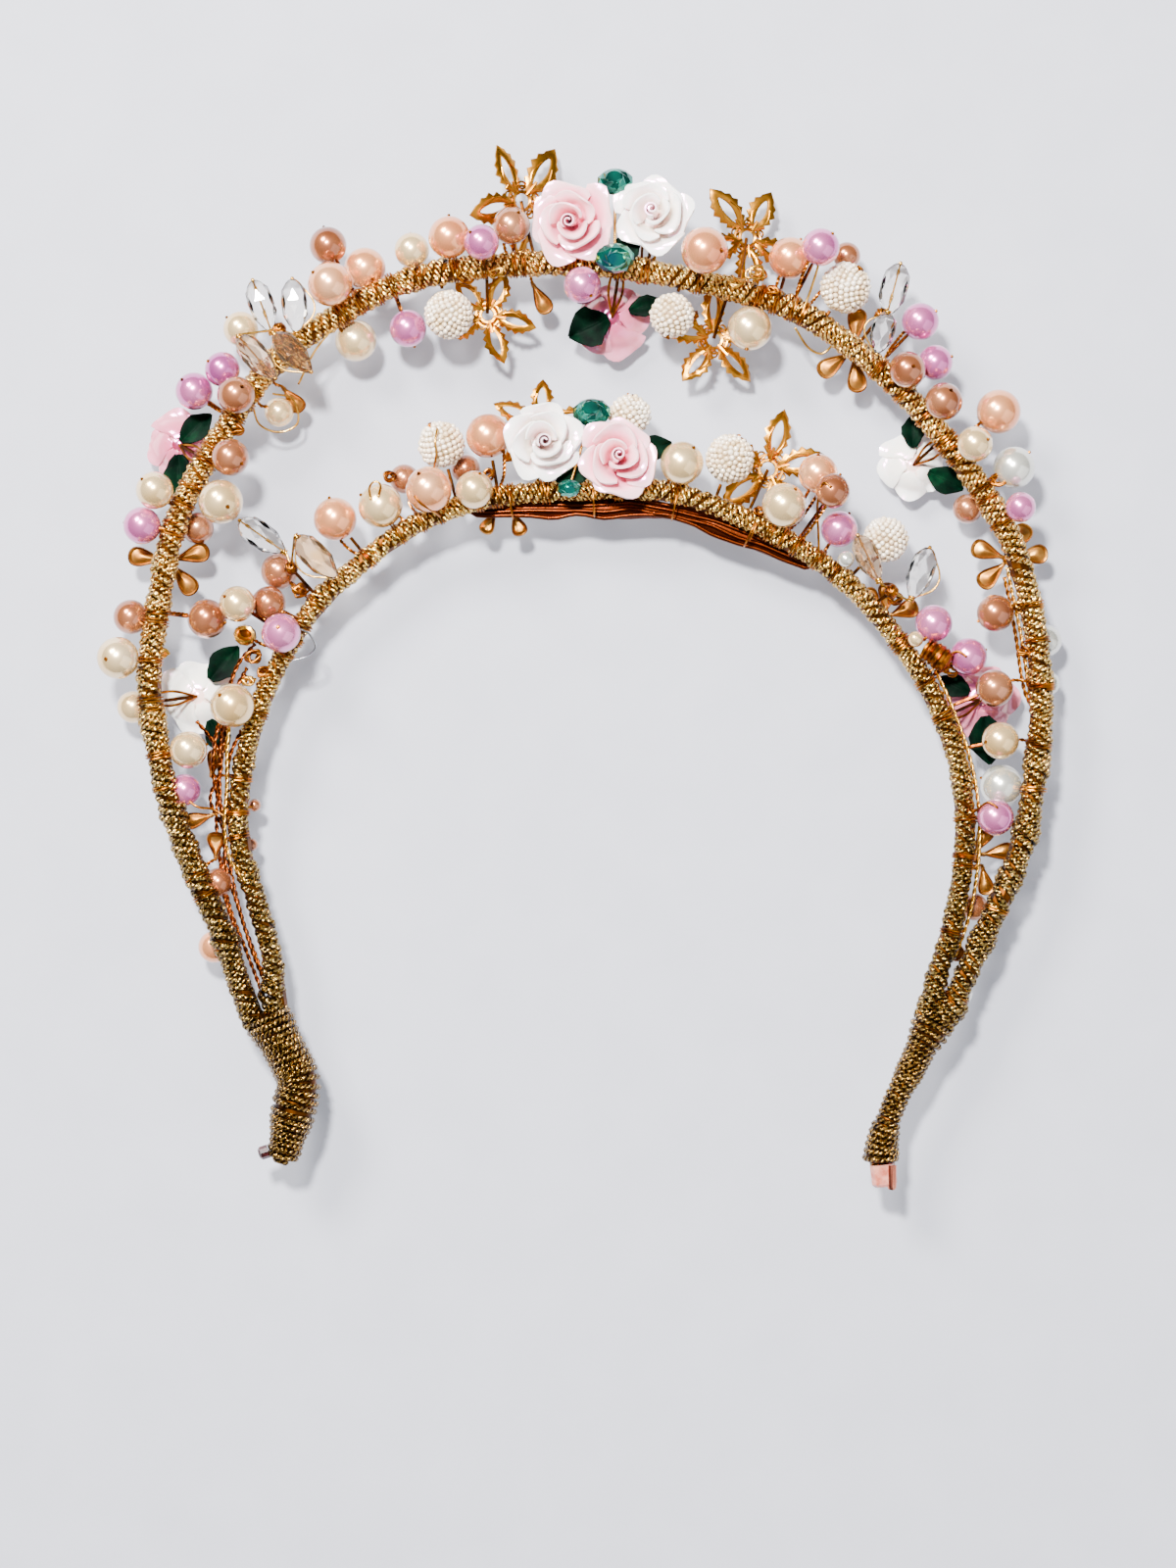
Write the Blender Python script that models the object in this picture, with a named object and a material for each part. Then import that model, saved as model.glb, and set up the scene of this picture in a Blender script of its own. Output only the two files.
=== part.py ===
"""A pearl headband: a band over the head and a tall halo arch, both wound with cord and set with wired
pearls, porcelain roses, pierced flowers, faceted drops and balls of seed beads.

It lies on its front with its back up. X runs across the head, Y runs from the two ends to the crown, and
Z points out of the back. The tables are in millimetres and become metres as each mesh is made.
"""
import math

import bmesh
import bpy
from mathutils import Matrix, Vector

MM = 0.001
GAP = 0.3
SEATED = 0.6

BAND_Z = 15.0
HALO_R = 2.3
INNER_R = 1.95
VINE_R = 0.5
STEM_R = 0.4
VINE_DROP = 1.2
HUB_R = 1.1
FOOT_R = 0.75
FOOT_OFFSET = 0.5
BEAD_SIDES = 10
BEAD_TURN = math.radians(46)
KNOT_HEIGHT = 0.5
KNOT_WIDTH = 0.87
SHARP_ANGLE = math.radians(35)

BAND_SIDES = 8
VINE_SIDES = 5
STEM_SIDES = 5
ROSE_SIDES = 15
CUT_SIDES = 8
LEAF_SIDES = 4
DROP_SIDES = 6
KNOT_SIDES = 6
END_SIDES = 12
TIP_SIDES = 10

# How finely the arches are followed: steps between two points of a table, then lengths in mm.
CURVE_STEPS = 24
LINE_STEP = 1.5
HALO_STEP = 12.0
INNER_STEP = 11.0
VINE_EVERY = 7
VINE_START = 6

# How a bead is moved along Z until it is clear, and how a wire's foot is moved along its band.
SETTLE_STEP = 0.25
SETTLE_COUNT = 60
ROUTE_REACH = 14
ROUTE_SAMPLES = 10
ROUTE_START = 0.2
WIRE_ROOM = 0.52

# Each arch's middle line, from the left end to the right one: x, y.
HALO_LINE = [
    (-77.2, -56.4), (-82.6, -44.4), (-87.3, -31.8), (-90.0, -21.0), (-92.5, -4.5), (-91.2, 8.0),
    (-87.3, 29.0), (-79.7, 44.8), (-66.7, 63.7), (-54.0, 73.6), (-40.2, 81.2), (-23.6, 85.2),
    (1.6, 85.8), (22.6, 82.8), (44.0, 77.0), (57.0, 69.0), (67.0, 60.6), (77.4, 49.2), (88.0, 34.3),
    (94.2, 21.7), (98.0, 3.5), (98.6, -13.0), (95.2, -36.6), (89.6, -51.0), (83.0, -65.6),
]
INNER_LINE = [
    (-66.0, -63.0), (-69.6, -50.0), (-73.2, -37.0), (-72.3, -22.0), (-67.5, -5.6), (-58.0, 11.4),
    (-49.7, 19.5), (-36.2, 29.7), (-19.4, 35.8), (1.6, 37.5), (19.6, 37.0), (37.0, 30.6),
    (50.7, 22.6), (60.8, 14.0), (73.0, -2.0), (80.3, -18.8), (82.4, -37.0), (79.7, -56.0),
    (76.3, -66.7),
]

# The thick wound ends: x, y, radius. The bands end on the first section of each.
LEFT_END = [
    (-66.6, -76.4, 5.2), (-64.3, -80.8, 4.4), (-61.9, -85.4, 4.4), (-60.3, -89.5, 4.3),
    (-61.2, -94.0, 4.6), (-62.3, -99.0, 4.2), (-63.3, -103.5, 3.3), (-63.7, -106.3, 2.6),
]
RIGHT_END = [
    (75.6, -76.6, 4.3), (73.0, -82.0, 3.2), (70.6, -87.0, 2.8), (68.0, -92.2, 2.2),
    (66.1, -97.0, 2.2), (64.9, -101.0, 2.8), (64.4, -104.6, 3.6), (64.6, -106.6, 3.8),
]
# How far each arch's left and right end lies from the middle of the wound end.
HALO_SPREAD = (-2.9, 2.2)
INNER_SPREAD = (2.75, -2.3)
END_RUN = 4.0
SLEEVE_R = 2.8
SLEEVE_LENGTH = 4.8
SLEEVE_EDGE = 0.6
SLEEVE_WAY = (0.12, -1.0, 0.0)
TIP_R = 1.5
TIP_LENGTH = 2.2
TIP_EDGE = 0.5
TIP_WAY = (-0.95, -0.32, 0.0)
TIP_RISE = 0.6
TIP_GAP = 0.4

# Porcelain roses: name, x, y, diameter, side (1 opens to the back, -1 to the front), colour.
ROSES = [
    ("rose_halo_pink", -1.4, 94.6, 17.5, 1, "pink"),
    ("rose_halo_white", 15.6, 95.2, 16.5, 1, "white"),
    ("rose_inner_white", -8.4, 47.8, 17.0, 1, "white"),
    ("rose_inner_pink", 7.6, 43.8, 16.5, 1, "pink"),
    ("rose_front_crown_pink", 6.8, 75.2, 16.0, -1, "pink"),
    ("rose_front_left_pink", -86.8, 47.8, 14.5, -1, "pink"),
    ("rose_front_left_white", -82.8, -6.6, 16.0, -1, "white"),
    ("rose_front_right_white", 71.9, 43.4, 14.5, -1, "white"),
    ("rose_front_right_pink", 86.8, -7.2, 15.0, -1, "pink"),
]
ROSE_HEIGHT = 0.54
ROSE_BACK_Z = 17.6
# A rose from its foot up to its bud: radius and height by the whole rose, wave of the edge, turn.
ROSE_RINGS = [
    (0.24, 0.00, 0.00, 0.0), (0.70, 0.26, 0.02, 0.0), (1.00, 0.66, 0.10, 0.0),
    (0.82, 0.78, 0.06, 0.0), (0.62, 0.64, 0.02, 0.5), (0.58, 0.92, 0.07, 0.5),
    (0.34, 0.80, 0.02, 0.0), (0.25, 1.00, 0.04, 0.0),
]
ROSE_BUD = 0.90
ROSE_PETALS = 5
ROSE_LOBE_RISE = 0.6
# The plain disc that stands for a rose when room is measured: radius, half height and middle height.
ROSE_DISC = (0.47, 0.36, 0.66)

# Leaves: the rose, middle x, middle y, length, width.
LEAVES = [
    ("rose_front_crown_pink", 2.6, 73.4, 10.0, 8.0), ("rose_front_crown_pink", 14.0, 77.6, 7.5, 4.5),
    ("rose_front_left_pink", -83.2, 51.6, 7.5, 4.6), ("rose_front_left_pink", -86.2, 40.4, 8.5, 5.0),
    ("rose_front_left_white", -77.4, -0.2, 7.5, 5.0), ("rose_front_left_white", -78.8, -14.8, 6.5, 4.0),
    ("rose_front_right_white", 71.7, 50.6, 7.0, 5.0), ("rose_front_right_white", 78.6, 40.2, 7.5, 5.0),
    ("rose_front_right_pink", 80.9, -3.4, 6.0, 4.0), ("rose_front_right_pink", 87.0, -15.4, 7.0, 4.5),
    ("rose_halo_white", 9.6, 88.6, 9.0, 5.5), ("rose_inner_pink", -1.2, 40.6, 8.5, 4.5),
    ("rose_inner_pink", 15.0, 46.8, 6.0, 5.0),
]
LEAF_THICKNESS = 1.1
LEAF_LIFT = 1.1
LEAF_START = 0.5
LEAF_RINGS = [(0.35, 0.5), (0.68, 1.0), (0.86, 0.7)]

# Pierced flowers: name, x, y, z, petal length, turn in degrees, lean in degrees about Y.
FLOWERS = [
    ("flower_halo_left", -12.9, 100.2, 9.4, 14.0, 54.0, 30.0),
    ("flower_halo_inside_left", -20.0, 75.6, 9.4, 11.0, -9.0, 0.0),
    ("flower_halo_right", 35.8, 92.4, 8.4, 13.0, 54.0, 25.0),
    ("flower_halo_inside_right", 28.7, 70.4, 8.0, 12.6, 18.0, 10.0),
    ("flower_inner_right", 40.4, 42.4, 9.0, 13.4, 7.0, 0.0),
    ("flower_inner_left", -8.4, 51.8, 10.4, 11.0, 13.0, 0.0),
]
FLOWER_THICKNESS = 0.9
FLOWER_PETALS = 5
FLOWER_SEAT = 1.4
FLOWER_DISC = 0.92
# One petal's edge from its root to its tip: share of the length, half width by the length.
PETAL_EDGE = [(0.20, 0.075), (0.42, 0.25), (0.72, 0.24), (1.00, 0.0)]
PETAL_HOLE = [(0.36, 0.0), (0.46, 0.10), (0.70, 0.10), (0.80, 0.0)]

# Balls of seed beads: name, x, y, diameter, side.
SEED_BALLS = [
    ("seed_ball_halo_left", -28.2, 75.0, 11.0, 0),
    ("seed_ball_halo_crown", 19.6, 74.8, 10.0, 1),
    ("seed_ball_halo_right", 56.8, 80.8, 11.4, 0),
    ("seed_ball_inner_left", -29.9, 47.4, 10.6, 0),
    ("seed_ball_inner_crown", 10.6, 53.6, 9.5, -1),
    ("seed_ball_inner_middle", 32.0, 44.2, 11.0, 1),
    ("seed_ball_inner_right", 65.5, 27.0, 10.3, -1),
]

# Faceted drops: group, x, y, z of the middle, length, width, angle in degrees.
CRYSTALS = [
    ("crystals_halo_left", -67.9, 76.4, 18.6, 11.5, 6.0, 110.0),
    ("crystals_halo_left", -61.0, 76.4, 18.6, 11.5, 6.0, 95.0),
    ("crystals_halo_left", -68.8, 65.2, 21.6, 11.5, 6.0, 131.0),
    ("crystals_halo_left", -61.2, 66.2, 21.6, 11.0, 6.0, 134.0),
    ("crystals_halo_right", 66.8, 79.9, 18.0, 11.5, 6.4, 75.0),
    ("crystals_halo_right", 64.2, 70.4, 21.4, 9.0, 5.6, 75.0),
    ("crystals_inner_left", -68.0, 27.4, 17.0, 11.5, 6.2, 145.0),
    ("crystals_inner_left", -56.2, 22.8, 20.4, 12.0, 6.2, 135.0),
    ("crystals_inner_right", 61.4, 22.6, 19.2, 10.5, 5.6, 115.0),
    ("crystals_inner_right", 72.6, 19.4, 17.6, 11.5, 6.0, 70.0),
]
CRYSTAL_RINGS = [(0.0, 0.30), (0.30, 0.94), (0.58, 1.0), (1.0, 0.34)]
CRYSTAL_INSET = 0.2
# Where each group's wires meet: x, y, z.
CRYSTAL_HUBS = {
    "crystals_halo_left": (-64.2, 71.4, 19.6),
    "crystals_halo_right": (64.2, 74.6, 18.6),
    "crystals_inner_left": (-61.8, 20.6, 17.6),
    "crystals_inner_right": (66.4, 15.6, 18.4),
}

# Flowers of plain drop petals: name, then the middle x, y, z, then each petal's angle and length.
DROP_FLOWERS = [
    ("drop_flower_left", -88.7, 22.6, 9.6, (172.0, 15.0, -52.0), 9.0),
    ("drop_flower_right", 92.3, 22.9, 9.9, (160.0, 222.0, 10.0, 62.0), 8.6),
    ("drop_flower_halo_right", 58.9, 68.0, 9.6, (214.0, 276.0, 84.0), 9.2),
    ("drop_flower_inner_right", 65.6, 10.4, 10.2, (84.0, 128.0, 20.0), 7.6),
]
DROP_WIDTH = 4.6
DROP_THICKNESS = 1.8
DROP_RINGS = [(0.30, 0.34), (0.62, 1.0), (0.86, 0.80)]
DROP_START = 0.3
# The plain disc that stands for a petal: its middle by the length, its radius by the width.
DROP_DISC = (0.64, 0.6)

# Green stones, two to a node and joined by a wire: node, x, y, z, diameter.
GREEN_STONES = [
    ("green_stones_halo", 7.4, 103.0, 18.6, 7.0), ("green_stones_halo", 7.3, 86.2, 22.4, 7.6),
    ("green_stones_inner", 2.4, 53.8, 18.0, 7.4), ("green_stones_inner", -2.4, 37.4, 21.0, 4.6),
]
STONE_RINGS = [(-0.42, 0.30), (0.0, 1.0), (0.16, 1.0), (0.42, 0.60)]
STONE_HALF = 0.21

# Large pearls, each its own piece: name, x, y, diameter, side, colour.
LARGE_PEARLS = [
    ("pearl_left_low", -74.2, -8.8, 10.0, 1, "cream"),
    ("pearl_left_outer", -98.7, 1.4, 9.5, 0, "cream"),
    ("pearl_left_high", -76.6, 34.6, 10.0, 1, "cream"),
    ("pearl_halo_peach_left", -53.3, 80.9, 10.0, 1, "peach"),
    ("pearl_halo_under_left", -48.4, 70.0, 9.5, -1, "cream"),
    ("pearl_halo_peach_top_left", -28.0, 91.2, 9.5, 0, "peach"),
    ("pearl_halo_peach_top_right", 26.2, 87.2, 10.5, 1, "peach"),
    ("pearl_halo_under_right", 36.2, 71.9, 10.0, 1, "cream"),
    ("pearl_right_peach", 89.6, 54.3, 10.0, 0, "peach"),
    ("pearl_right_ivory", 92.9, 42.3, 9.5, 0, "ivory"),
    ("pearl_inner_peach_left", -52.6, 31.3, 9.8, 0, "peach"),
    ("pearl_inner_cream_left", -42.8, 34.0, 10.0, 1, "cream"),
    ("pearl_inner_peach_middle", -32.3, 37.2, 10.4, 1, "peach"),
    ("pearl_inner_peach_high", -19.8, 49.0, 10.0, 0, "peach"),
    ("pearl_inner_cream_crown", 21.6, 43.0, 9.8, 1, "cream"),
    ("pearl_inner_cream_right", 43.4, 33.9, 10.0, 1, "cream"),
    ("pearl_right_low_ivory", 90.6, -25.9, 9.7, -1, "ivory"),
]

# Small pearls, fused to the vine wire that carries them: vine, x, y, diameter, side, colour.
SMALL_PEARLS = [
    ("halo_vine_left", -83.9, -18.2, 8.0, 1, "cream"), ("halo_vine_left", -96.7, 10.4, 7.5, -1, "bronze"),
    ("halo_vine_left", -80.0, 9.9, 8.5, 0, "bronze"), ("halo_vine_left", -93.8, 29.8, 8.0, 0, "mauve"),
    ("halo_vine_left", -90.8, 37.1, 8.0, 1, "cream"), ("halo_vine_left", -74.6, 44.1, 8.0, 1, "bronze"),
    ("halo_vine_left", -82.8, 58.7, 8.0, 0, "mauve"), ("halo_vine_left", -76.5, 63.1, 7.5, 0, "mauve"),
    ("halo_vine_left", -73.2, 57.2, 8.0, 1, "bronze"), ("halo_vine_left", -72.8, 72.0, 7.5, -1, "cream"),
    ("halo_vine_left", -54.1, 89.9, 8.0, 0, "bronze"), ("halo_vine_left", -46.4, 85.4, 9.0, -1, "peach"),
    ("halo_vine_left", -37.1, 72.4, 8.0, 0, "mauve"), ("halo_vine_left", -36.2, 89.1, 7.5, 0, "cream"),
    ("halo_vine_left", -21.0, 89.4, 7.5, 1, "mauve"), ("halo_vine_left", -14.8, 94.0, 8.0, 1, "bronze"),
    ("halo_vine_right", 0.4, 80.8, 8.0, 1, "mauve"), ("halo_vine_right", 44.9, 87.2, 9.0, 0, "peach"),
    ("halo_vine_right", 51.1, 88.7, 8.0, 1, "mauve"), ("halo_vine_right", 72.8, 73.6, 8.0, 0, "mauve"),
    ("halo_vine_right", 76.0, 64.8, 7.5, 0, "mauve"), ("halo_vine_right", 69.6, 62.7, 7.8, 1, "bronze"),
    ("halo_vine_right", 77.4, 56.0, 8.0, 1, "bronze"), ("halo_vine_right", 84.0, 46.9, 7.6, 1, "cream"),
    ("halo_vine_right", 88.9, 11.1, 8.0, 0, "bronze"), ("inner_vine_left", -73.2, 12.9, 7.7, 0, "cream"),
    ("inner_vine_left", -63.7, 6.6, 8.4, 1, "mauve"), ("inner_vine_left", -66.9, 13.2, 7.5, -1, "bronze"),
    ("inner_vine_left", -64.9, 20.3, 8.0, 0, "bronze"), ("inner_vine_left", -22.6, 37.1, 8.0, 1, "cream"),
    ("inner_vine_right", 50.9, 41.0, 8.5, -1, "peach"), ("inner_vine_right", 53.6, 36.8, 7.4, 1, "bronze"),
    ("inner_vine_right", 55.4, 29.1, 7.8, 0, "mauve"), ("inner_vine_right", 75.7, 8.9, 8.0, 0, "mauve"),
    ("inner_vine_right", 83.1, 1.8, 8.0, 1, "mauve"), ("inner_vine_right", 88.7, -5.0, 8.0, 1, "bronze"),
    ("inner_vine_right", 90.0, -16.2, 8.0, 1, "cream"), ("inner_vine_right", 88.7, -32.6, 7.8, 1, "mauve"),
]

COLOURS = {
    "cord": ((0.62, 0.42, 0.12), 0.38, 1.0), "wire": ((0.72, 0.42, 0.16), 0.30, 1.0),
    "brass": ((0.80, 0.52, 0.18), 0.28, 1.0),
    "cream": ((0.90, 0.80, 0.62), 0.18, 0.0), "peach": ((0.92, 0.58, 0.40), 0.18, 0.0),
    "ivory": ((0.90, 0.87, 0.78), 0.18, 0.0), "seed": ((0.90, 0.88, 0.82), 0.25, 0.0),
    "pink": ((0.92, 0.58, 0.62), 0.12, 0.0), "white": ((0.90, 0.89, 0.88), 0.12, 0.0),
    "glass": ((0.90, 0.86, 0.78), 0.05, 0.0), "green": ((0.02, 0.26, 0.22), 0.05, 0.3),
    "copper": ((0.70, 0.26, 0.16), 0.25, 1.0), "sleeve": ((0.88, 0.58, 0.54), 0.35, 0.0),
}


def material(name):
    """Return the plain finish of that name, made on first use."""
    made = bpy.data.materials.get(name)
    if made:
        return made
    colour, roughness, metallic = COLOURS[name]
    made = bpy.data.materials.new(name)
    made.use_nodes = True
    shader = made.node_tree.nodes["Principled BSDF"]
    shader.inputs["Base Color"].default_value = (*colour, 1.0)
    shader.inputs["Roughness"].default_value = roughness
    shader.inputs["Metallic"].default_value = metallic
    return made


def add_object(name, shape, finish):
    """Turn a bmesh in millimetres into a named object in metres."""
    bmesh.ops.scale(shape, vec=(MM, MM, MM), verts=shape.verts)
    bmesh.ops.recalc_face_normals(shape, faces=shape.faces)
    mesh = bpy.data.meshes.new(name)
    shape.to_mesh(mesh)
    shape.free()
    mesh.shade_smooth()
    mesh.set_sharp_from_angle(angle=SHARP_ANGLE)
    mesh.materials.append(material(finish))
    made = bpy.data.objects.new(name, mesh)
    bpy.context.scene.collection.objects.link(made)
    return made


def add_fused(name, core, parts, finish):
    """Make one body of a core shape and the parts that run into it."""
    made = add_object(name, core, finish)
    joined = bmesh.new()
    for part in parts:
        scratch = bpy.data.meshes.new("scratch")
        bmesh.ops.recalc_face_normals(part, faces=part.faces)
        part.to_mesh(scratch)
        joined.from_mesh(scratch)
        bpy.data.meshes.remove(scratch)
        part.free()
    helper = add_object(name + "_parts", joined, finish)
    helper.hide_render = True
    helper.display_type = "WIRE"
    union = made.modifiers.new("fuse", "BOOLEAN")
    union.operation = "UNION"
    union.solver = "EXACT"
    union.use_self = True
    union.object = helper
    return made


def curve_through(points, spacing):
    """Sample a smooth curve through the points at an even spacing."""
    known = [Vector(p) for p in points]
    first = known[0] * 2 - known[1]
    last = known[-1] * 2 - known[-2]
    ring = [first] + known + [last]
    fine = []
    for i in range(1, len(ring) - 2):
        p0, p1, p2, p3 = ring[i - 1:i + 3]
        for k in range(CURVE_STEPS):
            t = k / CURVE_STEPS
            fine.append(0.5 * (2 * p1 + (p2 - p0) * t + (2 * p0 - 5 * p1 + 4 * p2 - p3) * t * t
                               + (3 * p1 - p0 - 3 * p2 + p3) * t ** 3))
    fine.append(known[-1])
    lengths = [0.0]
    for a, b in zip(fine, fine[1:]):
        lengths.append(lengths[-1] + (b - a).length)
    count = max(2, round(lengths[-1] / spacing))
    out = []
    j = 0
    for i in range(count + 1):
        want = lengths[-1] * i / count
        while j < len(lengths) - 2 and lengths[j + 1] < want:
            j += 1
        share = (want - lengths[j]) / (lengths[j + 1] - lengths[j])
        out.append(fine[j].lerp(fine[j + 1], share))
    return out


def add_tube(shape, path, radii, sides, first=None, last=None):
    """Sweep a polygon along the path and close both ends."""
    rings = []
    normal = None
    count = len(path)
    for i, point in enumerate(path):
        along = (path[min(i + 1, count - 1)] - path[max(i - 1, 0)]).normalized()
        if i == 0 and first:
            along = first.normalized()
        if i == count - 1 and last:
            along = last.normalized()
        if normal is None:
            normal = along.cross(Vector((0.0, 0.0, 1.0)))
            if normal.length < 0.1:
                normal = along.cross(Vector((1.0, 0.0, 0.0)))
        normal = (normal - along * normal.dot(along)).normalized()
        side = along.cross(normal)
        ring = []
        for k in range(sides):
            turn = math.tau * k / sides
            ring.append(shape.verts.new(point + (normal * math.cos(turn) + side * math.sin(turn)) * radii[i]))
        rings.append(ring)
    for a, b in zip(rings, rings[1:]):
        for k in range(sides):
            n = (k + 1) % sides
            shape.faces.new((a[k], a[n], b[n], b[k]))
    shape.faces.new(rings[0])
    shape.faces.new(list(reversed(rings[-1])))


def tube(path, radius, sides):
    """Return a new shape that holds one tube of an even radius."""
    shape = bmesh.new()
    add_tube(shape, path, [radius] * len(path), sides)
    return shape


def ball(centre, radius):
    """Return a round bead."""
    shape = bmesh.new()
    bmesh.ops.create_icosphere(shape, subdivisions=2, radius=radius, matrix=Matrix.Translation(centre))
    return shape


def small_bead(centre, radius):
    """Return a round bead with fewer faces."""
    rings = [(radius * math.sin(turn), radius * math.cos(turn)) for turn in (-BEAD_TURN, 0.0, BEAD_TURN)]
    return turned(rings, BEAD_SIDES, Matrix.Translation(centre), 1.0, (-radius, radius))


def knot(centre, radius):
    """Return the small lump where wires meet."""
    rings = [(sign * radius * KNOT_HEIGHT, radius * KNOT_WIDTH) for sign in (-1, 1)]
    return turned(rings, KNOT_SIDES, Matrix.Translation(centre), 1.0, (-radius, radius))


def axis_frame(start, direction, up=Vector((0.0, 0.0, 1.0))):
    """Return a frame whose Z runs along the direction and whose Y lies as near up as it can."""
    z_axis = direction.normalized()
    x_axis = up.cross(z_axis)
    if x_axis.length < 0.1:
        x_axis = Vector((1.0, 0.0, 0.0))
    x_axis.normalize()
    y_axis = z_axis.cross(x_axis)
    frame = Matrix((x_axis, y_axis, z_axis)).transposed().to_4x4()
    return Matrix.Translation(start) @ frame


def turned(rings, sides, frame, flat=1.0, tips=(None, None)):
    """Return a shape turned from rings of height and radius; a tip closes an end in one point."""
    shape = bmesh.new()
    loops = []
    for height, radius in rings:
        loop = []
        for k in range(sides):
            turn = math.tau * (k + 0.5) / sides
            spot = Vector((radius * math.cos(turn), radius * flat * math.sin(turn), height))
            loop.append(shape.verts.new(frame @ spot))
        loops.append(loop)
    for a, b in zip(loops, loops[1:]):
        for k in range(sides):
            n = (k + 1) % sides
            shape.faces.new((a[k], a[n], b[n], b[k]))
    for loop, tip in ((list(reversed(loops[0])), tips[0]), (loops[-1], tips[1])):
        if tip is None:
            shape.faces.new(loop)
            continue
        point = shape.verts.new(frame @ Vector((0.0, 0.0, tip)))
        for k in range(sides):
            shape.faces.new((loop[k], loop[(k + 1) % sides], point))
    return shape


def drop(root, tip, width, thickness, profile, sides):
    """Return a flat leaf or petal that lies between its root and its tip."""
    length = (tip - root).length
    rings = [(length * share, width / 2 * part) for share, part in profile]
    return turned(rings, sides, axis_frame(root, tip - root), thickness / width, (0.0, length))


def rose_shape(x, y, diameter, side):
    """Return a rose with its foot towards the band and its petals towards the back or the front."""
    height = diameter * ROSE_HEIGHT
    foot_z = ROSE_BACK_Z if side > 0 else height
    shape = bmesh.new()
    loops = []
    for share, rise, wave, turn_share in ROSE_RINGS:
        loop = []
        for k in range(ROSE_SIDES):
            turn = math.tau * k / ROSE_SIDES
            lobe = math.cos(ROSE_PETALS * turn + math.pi * turn_share)
            radius = diameter / 2 * share * (1 - wave + wave * lobe)
            level = foot_z + side * min(height * (rise + wave * ROSE_LOBE_RISE * lobe), height)
            loop.append(shape.verts.new((x + radius * math.cos(turn), y + radius * math.sin(turn), level)))
        loops.append(loop)
    for a, b in zip(loops, loops[1:]):
        for k in range(ROSE_SIDES):
            n = (k + 1) % ROSE_SIDES
            shape.faces.new((a[k], a[n], b[n], b[k]))
    shape.faces.new(list(reversed(loops[0])))
    bud = shape.verts.new((x, y, foot_z + side * height * ROSE_BUD))
    for k in range(ROSE_SIDES):
        shape.faces.new((loops[-1][k], loops[-1][(k + 1) % ROSE_SIDES], bud))
    return shape


def rose_foot(x, y, diameter, side):
    """Return the middle of the green cup under a rose."""
    foot_z = ROSE_BACK_Z if side > 0 else diameter * ROSE_HEIGHT
    return Vector((x, y, foot_z - side * FOOT_OFFSET))


def flower_shape(x, y, z, length, turn, lean):
    """Return a pierced flower: a plate of five petals, each with its own hole."""
    shape = bmesh.new()
    frame = Matrix.Translation((x, y, z)) @ Matrix.Rotation(math.radians(lean), 4, "Y")
    step = math.tau / FLOWER_PETALS
    half = FLOWER_THICKNESS / 2
    sheets = []
    for level in (-half, half):
        hub = shape.verts.new(frame @ Vector((0.0, 0.0, level)))
        spots = []
        for i in range(FLOWER_PETALS):
            middle = math.radians(turn) + step * i
            spots.append(petal_spots(shape, frame, middle, length, level))
        sheets.append((hub, spots))
    for (hub, spots), flip in zip(sheets, (True, False)):
        for i in range(FLOWER_PETALS):
            edge, hole = spots[i]
            before = spots[i - 1][0][-1]
            faces = [(hub, before, edge[0]), (hub, edge[0], hole[0]), (hub, hole[0], edge[-1])]
            for k in range(len(edge) - 1):
                faces.append((edge[k], edge[k + 1], hole[k + 1], hole[k]))
            for face in faces:
                shape.faces.new(list(reversed(face)) if flip else face)
    low, high = sheets[0][1], sheets[1][1]
    for i in range(FLOWER_PETALS):
        rims = [(low[i - 1][0][-1], low[i][0][0], high[i][0][0], high[i - 1][0][-1])]
        for a, b in ((low[i][0], high[i][0]), (low[i][1], high[i][1])):
            for k in range(len(a) - 1):
                rims.append((a[k], a[k + 1], b[k + 1], b[k]))
        for rim in rims:
            shape.faces.new(rim)
    return shape


def petal_spots(shape, frame, middle, length, level):
    """Return the points of one petal's edge and of the hole in it, both from root to tip and back."""
    def spot(share, half_width, sign):
        along = Vector((math.cos(middle), math.sin(middle), 0.0)) * (share * length)
        across = Vector((-math.sin(middle), math.cos(middle), 0.0)) * (half_width * length * sign)
        return shape.verts.new(frame @ (along + across + Vector((0.0, 0.0, level))))
    edge = [spot(share, width, -1) for share, width in PETAL_EDGE]
    edge += [spot(share, width, 1) for share, width in reversed(PETAL_EDGE[:-1])]
    root = spot(*PETAL_HOLE[0], 1)
    hole = [root] + [spot(share, width, -1) for share, width in PETAL_HOLE[1:]]
    hole += [spot(share, width, 1) for share, width in reversed(PETAL_HOLE[1:-1])]
    return edge, hole + [root]


class Space:
    """What is already placed, so that beads and wires find clear room between it."""

    def __init__(self):
        self.things = []

    def add_rod(self, name, points, radius):
        self.things.append((name, "rod", [Vector(p) for p in points], radius))

    def add_plate(self, name, centre, radius, half, lean=0.0):
        axis = Vector((math.sin(math.radians(lean)), 0.0, math.cos(math.radians(lean))))
        self.things.append((name, "plate", (Vector(centre), axis, half), radius))

    def room(self, point, skip=()):
        """Return how far the point is from the nearest thing."""
        best = math.inf
        for name, kind, data, radius in self.things:
            if name in skip:
                continue
            if kind == "plate":
                centre, axis, half = data
                offset = point - centre
                height = offset.dot(axis)
                out = (offset - axis * height).length - radius
                high = abs(height) - half
                reach = math.hypot(max(out, 0.0), max(high, 0.0)) if max(out, high) > 0 else max(out, high)
            else:
                reach = min(segment_reach(point, a, b) for a, b in zip(data, data[1:] or data)) - radius
            best = min(best, reach)
        return best


def segment_reach(point, a, b):
    """Return the distance from a point to a straight run."""
    run = b - a
    if run.length_squared < 1e-9:
        return (point - a).length
    share = max(0.0, min(1.0, (point - a).dot(run) / run.length_squared))
    return (point - a - run * share).length


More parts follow.
